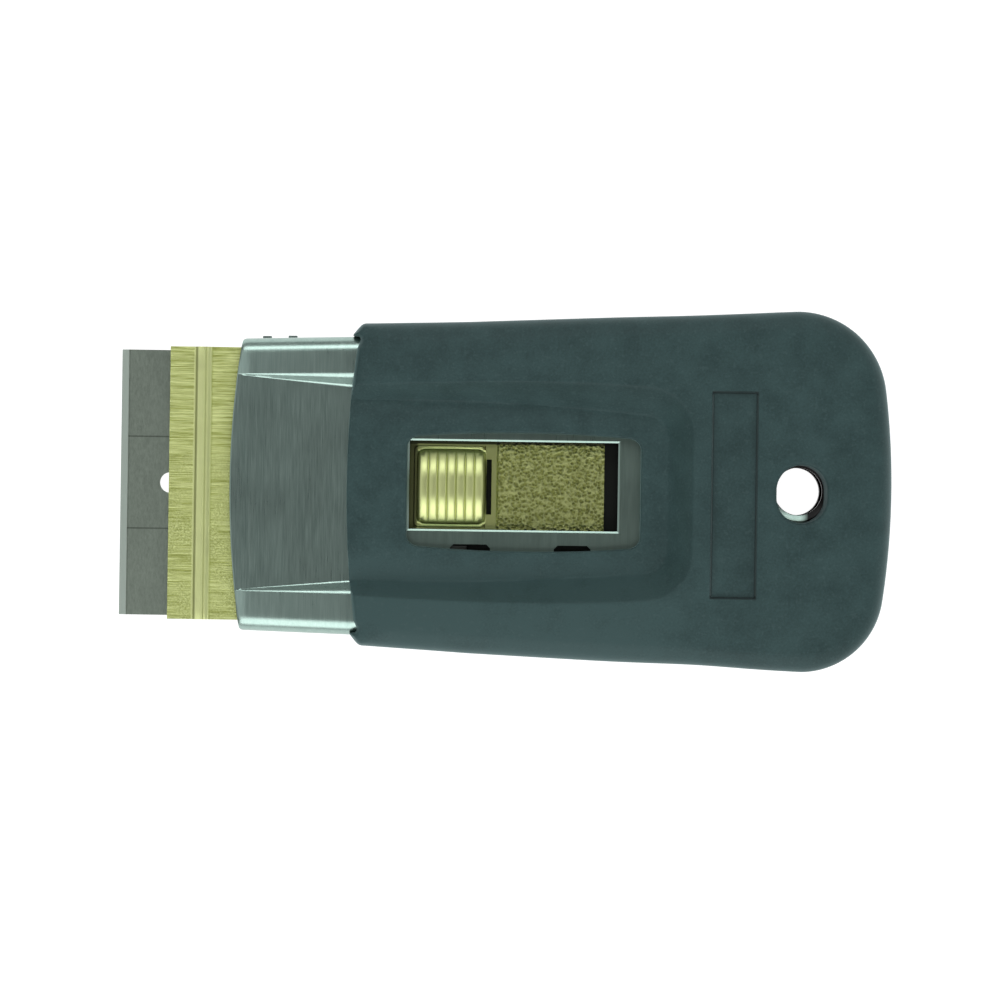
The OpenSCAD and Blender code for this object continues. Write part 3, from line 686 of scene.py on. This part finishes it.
def gripSide(tailR, waist):
    # one side of the grip's outline from above, from the front middle round to the tail
    g = grip
    lip, xLip = g["frontHalf"] - g["cornerY"], g["front"] + g["bow"]
    cy = g["rearHalf"] - tailR
    turn = asin(cy / (g["bulgeR"] - tailR))
    cx = g["tail"] - g["bulgeR"] + (g["bulgeR"] - tailR) * cos(turn)
    lean = atan((g["rearHalf"] - g["frontHalf"]) / (cx - xLip - g["cornerX"]))
    x0, y0 = xLip + g["cornerX"], g["frontHalf"]
    x1, y1 = cx - tailR * sin(lean), cy + tailR * cos(lean)
    half = [(g["front"] + g["bow"] * (i / 24) ** 2, lip * i / 24) for i in range(25)]
    # the corner: a nick beside the steel, then a thin lip that runs back to the side
    half = half[:-2] + [(xLip + dx, lip + dy) for dx, dy in g["corner"]]
    half += [(x0 + (x1 - x0) * i / 60, y0 + (y1 - y0) * i / 60 - waist * exp(-((i / 60 - 0.77) / 0.14) ** 2))
             for i in range(61)]
    a0 = pi / 2 + lean
    turns = [a0 - (a0 - turn) * i / 28 for i in range(1, 29)]
    half += [(cx + tailR * cos(a), cy + tailR * sin(a)) for a in turns]
    half += [(g["tail"] - g["bulgeR"] + g["bulgeR"] * cos(a), g["bulgeR"] * sin(a))
             for a in (turn * (1 - i / 14) for i in range(1, 15))]
    return half


def gripRing():
    # its two rear corners differ a little
    g = grip
    far, near = (gripSide(r, w) for r, w in zip(g["tailR"], g["waist"]))
    return [(x, y + float(np.interp(x, (g["front"], -5, 35, 50), (*g["aside"], g["aside"][1], 0))))
            for x, y in far + [(x, -y) for x, y in near[-2:0:-1]]]


def inwardNormals(ring):
    p = np.array(ring)
    along = np.roll(p, -1, axis=0) - np.roll(p, 1, axis=0)
    along /= np.linalg.norm(along, axis=1)[:, None]
    n = np.stack([along[:, 1], -along[:, 0]], axis=1)
    return n if (n[0] @ (p.mean(axis=0) - p[0])) > 0 else -n


def sideFall(x, y):
    # how far the back falls away towards its sides
    g = grip
    drop = np.interp(x, *zip(*g["sideDrop"]))
    half = g["frontHalf"] + (g["rearHalf"] - g["frontHalf"]) * (x - g["front"]) / g["widenRun"]
    return drop * np.clip((np.abs(y) - g["flatHalf"]) / (half - g["flatHalf"]), 0, 1.1) ** 2


def edgeRound(x):
    # radius of the top edge, which is sharper at the front
    g = grip
    back = smoothStep((x - g["front"] - g["bow"] - 0.5) / 5)
    return g["frontRound"] + (g["topRound"] - g["frontRound"]) * back


def footHalf(x):
    # half width of the trough's floor
    g = grip
    t = np.clip((x - g["front"]) / (g["footEnd"] - g["troughR"] - g["front"] + 1.5), 0, 1.2)
    return g["footHalf"] - g["footNarrow"] * t ** g["footBend"]


def sideRun(x):
    # run of the trough's wall at its sides, from its foot to the crest
    start, more, bend = grip["wallRun"]
    t = (x - grip["front"]) / (grip["footEnd"] - grip["front"])
    return start + more * np.clip(t, 0, 1.1) ** bend


def troughRing(k):
    # the trough's wall at share k of its run, open at the front
    g = grip
    xc = g["footEnd"] - g["troughR"]
    side = [(x, float(footHalf(x) + k * sideRun(x))) for x in np.linspace(g["front"] - 1, xc, 50)]
    yc, ws, we = float(footHalf(xc)) - g["troughR"], float(sideRun(xc)), g["outerEnd"] - g["footEnd"]
    for i in range(1, 13):
        a = pi / 2 * i / 12
        reach = g["troughR"] + k * (ws * cos(a) ** 2 + we * sin(a) ** 2)
        side.append((xc + reach * sin(a), yc + reach * cos(a)))
    line = side + [(side[-1][0], y) for y in np.linspace(side[-1][1], -side[-1][1], 22)[1:-1]]
    line += [(x, -y) for x, y in side[::-1]]
    return [(x, y + g["shift"]) for x, y in line]


def troughShare(x, y):
    # how far up the trough's wall a point lies, below 0 on its floor
    g = grip
    ay = np.abs(y - g["shift"])
    xc = g["footEnd"] - g["troughR"]
    xs = np.minimum(x, xc)
    ws, we = sideRun(xs), g["outerEnd"] - g["footEnd"]
    yc = footHalf(xs) - g["troughR"]
    dx, dy = x - xc, ay - yc
    angle = np.arctan2(np.maximum(dx, 0), np.maximum(dy, 1e-9))
    reach = np.hypot(np.maximum(dx, 0), np.maximum(dy, 0)) - g["troughR"]
    run = ws * np.cos(angle) ** 2 + we * np.sin(angle) ** 2
    return reach / run


def windowBow(x):
    # share of the window's half width at a place along it, full in the middle
    g = grip
    x0, x1, yh, r = g["window"]
    t = np.clip(np.abs(2 * x - x0 - x1) / (x1 - x0), 0, 1.1)
    return 1 - g["windowBow"] / yh * t ** 2.2


def windowRing(grow):
    x0, x1, yh, r = grip["window"]
    ring = roundRectRing(x0, x1, -yh, yh, r, grow)
    return [(x, y * float(windowBow(x)) + grip["shift"]) for x, y in ring]


def rolled(d, radius):
    # fall of a rounded edge at a distance from its rim
    return radius - np.sqrt(radius * radius - (radius - np.clip(d, 0, radius)) ** 2)


def hangDistance(x, y):
    hx, hy, hr, straight = grip["hang"]
    return np.hypot(x - hx, np.maximum(np.abs(y - hy) - straight, 0)) - hr


def gripHeight(x, y, ring):
    g = grip
    top = gripTop(x) - sideFall(x, y)
    near = np.clip(1 - ringDistance(x, y, ring) / edgeRound(x), 0, 1)
    outer = top - g["topRound"] * (1 - np.sqrt(1 - near * near))
    fromMiddle = y - g["shift"]
    fall, start, run = g["floorFall"]
    floor = g["troughZ"] - fall * np.clip((np.abs(fromMiddle) - start) / run, 0, 1.2) ** 2
    foot = g["troughZ"] - g["wallFoot"]
    wall = softMax(foot + (top - foot) * troughShare(x, y), floor, 0.1)
    z = softMin(outer, wall, 0.12)
    x0, x1, yh, r = g["window"]
    z = z - rolled(rectDistance(x, fromMiddle / windowBow(x), x0, x1, -yh, yh, r), g["windowRound"])
    x0, x1, yh = g["label"]
    z = z - g["labelDeep"] * smoothStep(0.5 - rectDistance(x, fromMiddle, x0, x1, -yh, yh, 0.05) / 0.16)
    return z - rolled(hangDistance(x, y), g["hangRound"])


def hangRing(grow):
    hx, hy, hr, straight = grip["hang"]
    r = hr + grow
    turns = [2 * pi * (i + 0.5) / 48 for i in range(48)]
    ring = [(hx + r * cos(a), hy + (straight if sin(a) >= 0 else -straight) + r * sin(a)) for a in turns]
    return spaced(ring, 1.0)


def gripSleeve():
    g = grip
    ring = gripRing()
    inward = inwardNormals(ring)
    rings = [list(ring)]
    for a in (12, 25, 38, 52, 66, 79, 90):
        share = 1 - cos(radians(a))
        rings.append([(x + n[0] * edgeRound(x) * share, y + n[1] * edgeRound(x) * share)
                      for (x, y), n in zip(ring, inward)])
    rings = [[(float(x), float(y)) for x, y in r] for r in rings]
    edgeEnd, windowEdge = rings[-1], windowRing(0)
    rings += [windowRing(grow) for grow in (0, 0.03, 0.1, 0.19, 0.3, 0.6)]
    a, b, half = g["label"]
    for grow in (-0.4, -0.08, 0, 0.08, 0.35):
        rings.append([(x, y + g["shift"]) for x, y in roundRectRing(a, b, -half, half, 0.45, grow, 3, 0.9)])
    rings += [hangRing(grow) for grow in (0, 0.05, 0.16, 0.32, 0.55, 0.9)]
    lines = [troughRing(k) for k in (-0.16, -0.05, 0, 0.05, 0.14, 0.4, 0.65, 0.86, 0.94, 1.0, 1.06, 1.18)]
    grid = np.array([(g["front"] + 0.9 + 0.9 * i, -26 + 1.0 * j + 0.5 * (i % 2))
                     for i in range(88) for j in range(54)])
    grid = [tuple(p) for p in grid[insideRing(grid[:, 0], grid[:, 1], edgeEnd)].tolist()]

    def keep(x, y):
        return insideRing(x, y, ring) & ~insideRing(x, y, windowEdge) & ~(hangDistance(x, y) < 0)

    xy, tris = cutPatch(rings, lines, grid, 0.42, keep)
    bm = bmesh.new()
    addPatch(bm, xy, tris, gripHeight(xy[:, 0], xy[:, 1], ring))
    x0, x1, windowHalf, r = g["window"]
    hx, hy, hr, straight = g["hang"]

    def atWindow(x, y, z):
        return x0 - 1 < x < x1 + 1 and abs(y) < windowHalf + 2

    def atHole(x, y, z):
        return abs(x - hx) < hr + 1.4 and abs(y - hy) < hr + 2.4

    def level(z, widen=0.0):
        return lambda p: Vector((p.x + (p.x - hx) * widen, p.y + (p.y - hy) * widen, z))

    # the window's walls end inside the room for the housing, and the hole runs down to a rounded rim
    wallRows(bm, openEdges(bm, atWindow), [level(g["windowLow"])])
    windowFloor = openEdges(bm, lambda x, y, z: atWindow(x, y, z) and z < g["windowLow"] + 0.1)
    bmesh.ops.contextual_create(bm, geom=windowFloor)
    holeLow = wallRows(bm, openEdges(bm, atHole), [level(6.0), level(0.4), level(0.12, 0.03), level(0, 0.05)])
    ringAt = np.array(ring)

    def drawnIn(d, z):
        def place(p):
            n = inward[int(np.argmin(np.hypot(ringAt[:, 0] - p.x, ringAt[:, 1] - p.y)))]
            return Vector((p.x + n[0] * d, p.y + n[1] * d, z))
        return place

    def lowered(share):
        return lambda p: Vector((p.x, p.y, g["lowRound"] + (p.z - g["lowRound"]) * share))

    # the sides run down and round under, each row drawn in a little further than the last
    rows = [lowered(0.66), lowered(0.5), level(g["lowRound"])]
    was = 0
    for a in (22, 45, 68, 90):
        d = g["lowRound"] * (1 - cos(radians(a)))
        rows.append(drawnIn(d - was, g["lowRound"] * (1 - sin(radians(a)))))
        was = d
    floorEdges = wallRows(bm, openEdges(bm, lambda x, y, z: z > 1), rows)
    bmesh.ops.triangle_fill(bm, use_beauty=True, edges=floorEdges + holeLow)
    sleeve = finished("gripSleeve", bm, "grip_rubber", sharp=50)
    carve(sleeve, [housingFill(g["room"])])
    smoothed(sleeve, 50)
    hand(sleeve, "handle", "grip_rubber", "grip_sleeve")


gripSleeve()
print("grip made")


plate = {"front": -48.12, "half": 19.55, "low": 4.6, "top": 5.2, "bodyEnd": -15.51, "bead": (-44.6, 2.4, 0.3),
         "beadForm": ((0, 0), (0.06, 0.06), (0.2, 0.86), (0.28, 1), (0.5, 0.97), (0.56, 0.68), (0.62, 0.68),
                      (0.7, 0.98), (0.8, 0.9), (0.94, 0.07), (1, 0)),
         "tongueHalf": 7.58, "tongueEnd": 14.31, "opening": (-13.01, -2.74, 5.88), "rearSlot": (-1.84, 3.95),
         "rim": (-1.84, -1.14, 0.15), "rivets": ((-33.94, 11.95), (-33.94, -11.95), (-19.01, 0.0)),
         "drill": ((1.25, 4), (1.25, 6)), "edge": 0.1}


def plateSurface(z0):
    # one face of the plate, as a grid whose lines follow the bead and every opening
    p = plate
    beadX, beadRun, beadRise = p["bead"]
    xs = sorted({p["front"], p["front"] + 1.2, beadX - 0.6, beadX + beadRun + 0.6, p["bodyEnd"],
                 p["opening"][0], p["opening"][1], p["rearSlot"][0], p["rim"][1], p["tongueEnd"]}
                | {-38, -34, -30, -26, -22, -19, -10.5, -8, -5.3, 2, 5, 8, 11}
                | {beadX + beadRun * i / 50 for i in range(51)})
    ys = [0, 2, p["rearSlot"][1], p["opening"][2], p["tongueHalf"], 10, 13, 16, 18, p["half"]]
    ys = [-y for y in ys[:0:-1]] + ys
    lift = [beadRise * float(np.interp((x - beadX) / beadRun, *zip(*p["beadForm"]))) for x in xs]
    return [[(x, y, z0 + rise) for y in ys] for x, rise in zip(xs, lift)]


def carrierPlate():
    p = plate
    bm = bmesh.new()
    nets = [gridFaces(bm, plateSurface(z0)) for z0 in (p["low"], p["top"])]
    under = {high: low for lows, highs in zip(*nets) for low, high in zip(lows, highs)}
    start, end, openHalf = p["opening"]
    slotEnd, slotHalf = p["rearSlot"]
    rimX, rimRise = p["rim"][0], p["rim"][2]
    gone = []
    for face in bm.faces:
        c = face.calc_center_median()
        offTongue = c.x > p["bodyEnd"] and abs(c.y) > p["tongueHalf"]
        inOpening = start < c.x < end and abs(c.y) < openHalf
        inSlot = end - 0.1 < c.x < slotEnd and abs(c.y) < slotHalf
        if offTongue or inOpening or inSlot:
            gone.append(face)
    bmesh.ops.delete(bm, geom=gone, context="FACES_ONLY")
    for e in [e for e in bm.edges if len(e.link_faces) == 1 and e.verts[0] in under and e.verts[1] in under]:
        a, b = e.verts
        bm.faces.new((a, b, under[b], under[a]))
    bmesh.ops.delete(bm, geom=[v for v in bm.verts if not v.link_faces], context="VERTS")
    # the rim of the rear slot stands a little proud
    for v in bm.verts:
        if abs(v.co.y) < slotHalf + 0.01 and abs(v.co.x - rimX) < 0.01 and v.co.z > p["top"] - 0.01:
            v.co.z += rimRise
    made = finished("carrierPlate", bm, "yellow_plating", sharp=40)
    carve(made, [lathe("rivetCut", x, y, p["drill"]) for x, y in p["rivets"]])
    soften(made, p["edge"], 3, 50)
    evenNormals(made, 50)
    hand(made, "carrier", "yellow_plating", "carrier_plate")


carrierPlate()
print("carrier plate made")


button = {"front": -12.91, "rear": -2.84, "half": 5.78, "footR": 0.7, "footTop": 5.4, "footLip": 0.18,
          "flangeZ": 3.95, "flangeTop": 4.55, "flangeOut": 1.2, "flangeFrom": (4.3, 5.0), "skirtLow": 4.7,
          "top": 8.3, "domeFront": -12.2, "domeRear": -2.95, "domeHalf": 5.2, "endR": 0.5, "endFall": 0.8,
          "drop": 0.25, "crown": 1.75, "flat": 0.9, "ribs": 7, "ribRise": 0.26, "cornerR": 0.9,
          "skirt": ((0.05, 0.8), (0.05, 0.62), (0.04, 0.5), (0.1, 0.3), (0.14, 0.1))}


def ribTree(sizes):
    # ribs side by side over the button's back: a bar with round ends, set along a line and lifted to the back
    tree = bpy.data.node_groups.new("buttonRibs", "GeometryNodeTree")
    nodes, links = tree.nodes, tree.links
    names = {}
    tree.interface.new_socket("Geometry", in_out="INPUT", socket_type="NodeSocketGeometry")
    for label, value in sizes.items():
        kind = "NodeSocketInt" if isinstance(value, int) else "NodeSocketFloat"
        names[label] = tree.interface.new_socket(label, in_out="INPUT", socket_type=kind).identifier
    tree.interface.new_socket("Geometry", in_out="OUTPUT", socket_type="NodeSocketGeometry")
    start, end = nodes.new("NodeGroupInput").outputs, nodes.new("NodeGroupOutput")

    def node(kind, values=None):
        made = nodes.new(kind)
        for label, value in (values or {}).items():
            if isinstance(value, bpy.types.NodeSocket):
                links.new(value, made.inputs[label])
            else:
                made.inputs[label].default_value = value
        return made.outputs[0]

    def maths(operation, a, b=0.0):
        made = node("ShaderNodeMath", {0: a, 1: b})
        made.node.operation = operation
        return made

    def times(a, b):
        return maths("MULTIPLY", a, b)

    def minus(a, b):
        return maths("SUBTRACT", a, b)

    def over(a, b):
        return maths("DIVIDE", a, b)

    def shift(axis, amount):
        return node("ShaderNodeCombineXYZ", {axis: amount})

    def placeNow():
        # a point's x and y where it stands at that stage
        parts = node("ShaderNodeSeparateXYZ", {0: node("GeometryNodeInputPosition")}).node
        return parts.outputs[0], parts.outputs[1]

    # a bar along Y: a half round across it that shrinks at both ends
    pitch = over(minus(start["Rear"], start["Front"]), start["Ribs"])
    bar = node("GeometryNodeMeshGrid", {"Size X": pitch, "Size Y": times(start["Half"], 2.0),
                                        "Vertices X": 13, "Vertices Y": 61})
    px, py = placeNow()
    wave = maths("COSINE", times(over(px, pitch), pi))
    bend = maths("POWER", maths("MAXIMUM", wave, 0.0), 0.42)
    share = over(maths("ABSOLUTE", py), start["Half"])
    fall = maths("SQRT", maths("MAXIMUM", minus(1.0, maths("POWER", share, 10.0)), 0.0))
    rise = times(times(bend, fall), start["Rise"])
    barSet = node("GeometryNodeSetPosition", {"Geometry": bar, "Offset": shift(2, rise)})
    first = shift(0, maths("ADD", start["Front"], times(pitch, 0.5)))
    row = node("GeometryNodeMeshLine", {"Count": start["Ribs"], "Offset": shift(0, pitch),
                                        "Start Location": first})
    bars = node("GeometryNodeInstanceOnPoints", {"Points": row, "Instance": barSet})
    real = node("GeometryNodeRealizeInstances", {"Geometry": bars})
    joined = node("GeometryNodeMergeByDistance", {"Geometry": real, "Distance": 1e-6})
    # the whole row is lifted onto the crowned back
    px, py = placeNow()
    centre = times(maths("ADD", start["Rear"], start["Front"]), 0.5)
    along = over(minus(px, centre), times(minus(start["Rear"], start["Front"]), 0.5))
    sideways = maths("MAXIMUM", minus(maths("ABSOLUTE", py), start["Flat"]), 0.0)
    sideways = over(sideways, minus(start["Half"], start["Flat"]))
    lift = minus(start["Top"], times(times(along, along), start["Drop"]))
    lift = minus(lift, times(times(sideways, sideways), start["Crown"]))
    lifted = node("GeometryNodeSetPosition", {"Geometry": joined, "Offset": shift(2, lift)})
    painted = node("GeometryNodeSetMaterial", {"Geometry": lifted, "Material": finishes["yellow_plating"]})
    links.new(painted, end.inputs[0])
    return tree, names


def buttonBack():
    # the ribbed back from the tree, as a mesh to work on
    b = button
    ribs = bpy.data.objects.new("ribs", bpy.data.meshes.new("ribs"))
    bpy.context.scene.collection.objects.link(ribs)
    sizes = {"Ribs": b["ribs"], "Front": b["domeFront"], "Rear": b["domeRear"], "Half": b["domeHalf"],
             "Rise": b["ribRise"], "Crown": b["crown"], "Flat": b["flat"], "Drop": b["drop"],
             "Top": b["top"] - b["ribRise"]}
    tree, names = ribTree(sizes)
    made = ribs.modifiers.new("ribs", "NODES")
    made.node_group = tree
    for label, value in sizes.items():
        made[names[label]] = value
    plain(ribs)
    bm = bmesh.new()
    bm.from_mesh(ribs.data)
    bpy.data.objects.remove(ribs)
    bmesh.ops.remove_doubles(bm, verts=bm.verts, dist=1e-3)
    return bm


def buttonFoot():
    # foot and flange, with a soft lip
    b = button
    lip, middle = b["footLip"], (b["front"] + b["rear"]) / 2
    profile = ((b["flangeOut"], b["flangeZ"]), (b["flangeOut"], b["flangeTop"]), (0, b["flangeTop"]),
               (0, b["footTop"] - lip), (-0.05, b["footTop"] - 0.05), (-lip, b["footTop"]))
    fromX, fromY = b["flangeFrom"]
    ring = roundRectRing(b["front"], b["rear"], -b["half"], b["half"], b["footR"], 0, 6, 2.0)
    rows = []
    for out, z in profile:
        row = []
        for x, y in ring:
            # the flange stands out at the front and the sides, and not at the rear
            atRear = x > b["rear"] - b["footR"] - 0.01 and out > 0
            outX = 0 if atRear else out * ((x > middle) - (x < middle)) * (abs(x - middle) > fromX)
            outY = out * ((y > 0) - (y < 0)) * (abs(y) > fromY)
            row.append((min(x, b["rear"]) + outX, y + outY, z))
        rows.append(row)
    bm = bmesh.new()
    capped(bm, gridFaces(bm, rows, closed=True))
    return finished("foot", bm, "yellow_plating", sharp=40)


def thumbButton():
    b = button
    bm = buttonBack()
    midX, hx, hy = (b["domeFront"] + b["domeRear"]) / 2, (b["domeRear"] - b["domeFront"]) / 2, b["domeHalf"]
    endR, r = b["endR"], b["cornerR"]
    for v in bm.verts:
        # both ends of the ribs roll down over the sides
        over = min(1.0, max(0.0, (abs(v.co.y) - (hy - endR)) / endR))
        v.co.z -= endR * (1 - sqrt(1 - over * over)) * b["endFall"]
        # corners of the back are round from above
        ux, uy = (abs(v.co.x - midX) - hx + r) / r, (abs(v.co.y) - hy + r) / r
        if ux > 0 and uy > 0:
            scale = max(ux, uy) / sqrt(ux * ux + uy * uy)
            v.co.x = midX + (hx - r + ux * scale * r) * (1 if v.co.x > midX else -1)
            v.co.y = (hy - r + uy * scale * r) * (1 if v.co.y > 0 else -1)
    foot = b["footTop"]

    def skirt(out, t):
        def place(p):
            outX = (1 if p.x > midX else -1) * (abs(p.x - midX) > hx - 1.0)
            outY = (1 if p.y > 0 else -1) * (abs(p.y) > hy - 1.0)
            return Vector((p.x + outX * out, p.y + outY * out, foot + (p.z - foot) * t))
        return place

    # the back's rim is drawn down to the foot
    rim = [e for e in bm.edges if len(e.link_faces) == 1]
    rows = [skirt(out, t) for out, t in b["skirt"]] + [lambda p: Vector((p.x, p.y, b["skirtLow"]))]
    bmesh.ops.contextual_create(bm, geom=wallRows(bm, rim, rows))
    made = finished("thumbButton", bm, "yellow_plating", sharp=50)
    carve(made, [buttonFoot()], "UNION")
    evenNormals(made, 42)
    hand(made, "button", "yellow_plating", "thumb_button")


thumbButton()
print("thumb button made")

# the other pieces keep their solids and get a finish
for node, slot in (("housing_base", "brushed_steel"), ("tail_rivets", "rivet_steel"),
                   ("carrier_jaw", "yellow_plating"), ("carrier_rivets", "rivet_steel"),
                   ("spring_rivet", "rivet_steel"), ("latch_spring", "spring_steel"),
                   ("razor_blade", "blade_steel"), ("blade_spine", "spine_steel")):
    kept = bpy.data.objects[node]
    if not kept.material_slots:
        kept.data.materials.append(finishes[slot])
    for holder in kept.material_slots:
        holder.material = finishes[slot]
print("kept pieces finished")


# places and sizes of the softboxes are metres here, and their powers watts
studio = {"paper": (0.2, 0.2, 0.2, 1), "glow": 1.0, "world": (0.12, 0.12, 0.12, 1), "floor": (1500, -0.02),
          "boxes": (("near panel", (0, -0.41, 0.38), (0.8, 0.52), 3.0),
                    ("far panel", (0, 0.37, 0.42), (0.8, 0.24), 1.8),
                    ("near strip", (0, -0.5, 0.13), (0.8, 0.24), 0.2),
                    ("far strip", (0, 0.5, 0.13), (0.8, 0.24), 0.12),
                    ("front panel", (-0.375, 0, 0.445), (0.5, 0.4), 0.36),
                    ("rear panel", (0.5, 0, 0.3), (0.4, 0.3), 0.35)),
          "lens": 100.1, "eye": (-0.59, -1.83, 404), "turn": 0.0145}


def studioFloor():
    reach, level = studio["floor"]
    bm = bmesh.new()
    bmesh.ops.create_grid(bm, x_segments=2, y_segments=2, size=reach)
    for v in bm.verts:
        v.co.z = level
    bmesh.ops.scale(bm, vec=(mm, mm, mm), verts=bm.verts)
    mesh = bpy.data.meshes.new("floor")
    bm.to_mesh(mesh)
    bm.free()
    floor = bpy.data.objects.new("floor", mesh)
    bpy.context.scene.collection.objects.link(floor)
    paper = bpy.data.materials.new("paper")
    paper.use_nodes = True
    surface = paper.node_tree.nodes["Principled BSDF"].inputs
    surface["Base Color"].default_value = studio["paper"]
    surface["Emission Color"].default_value = (1, 1, 1, 1)
    surface["Emission Strength"].default_value = studio["glow"]
    surface["Roughness"].default_value = 0.9
    surface["Specular IOR Level"].default_value = 0.1
    mesh.materials.append(paper)


def softbox(name, place, size, power):
    # a plain soft light that looks at the middle of the tool
    lamp = bpy.data.lights.new(name, "AREA")
    lamp.shape, lamp.size, lamp.size_y, lamp.energy = "RECTANGLE", size[0], size[1], power
    box = bpy.data.objects.new(name, lamp)
    box.location = place
    box.visible_camera = False
    box.rotation_euler = (Vector() - Vector(place)).to_track_quat("-Z", "Y").to_euler()
    bpy.context.scene.collection.objects.link(box)


studioFloor()
for name, place, size, power in studio["boxes"]:
    softbox(name, place, size, power)
world = bpy.data.worlds.new("studio")
world.use_nodes = True
world.node_tree.nodes["Background"].inputs[0].default_value = studio["world"]
world.node_tree.nodes["Background"].inputs[1].default_value = 1.0
bpy.context.scene.world = world
bpy.context.scene.view_settings.view_transform = "Standard"

view = bpy.data.cameras.new("camera")
view.lens, view.sensor_width, view.clip_start, view.clip_end = studio["lens"], 36.0, 0.01, 10.0
camera = bpy.data.objects.new("camera", view)
camera.location = [v * mm for v in studio["eye"]]
camera.rotation_euler = (0, 0, studio["turn"])
bpy.context.scene.collection.objects.link(camera)
bpy.context.scene.camera = camera
print("studio ready")
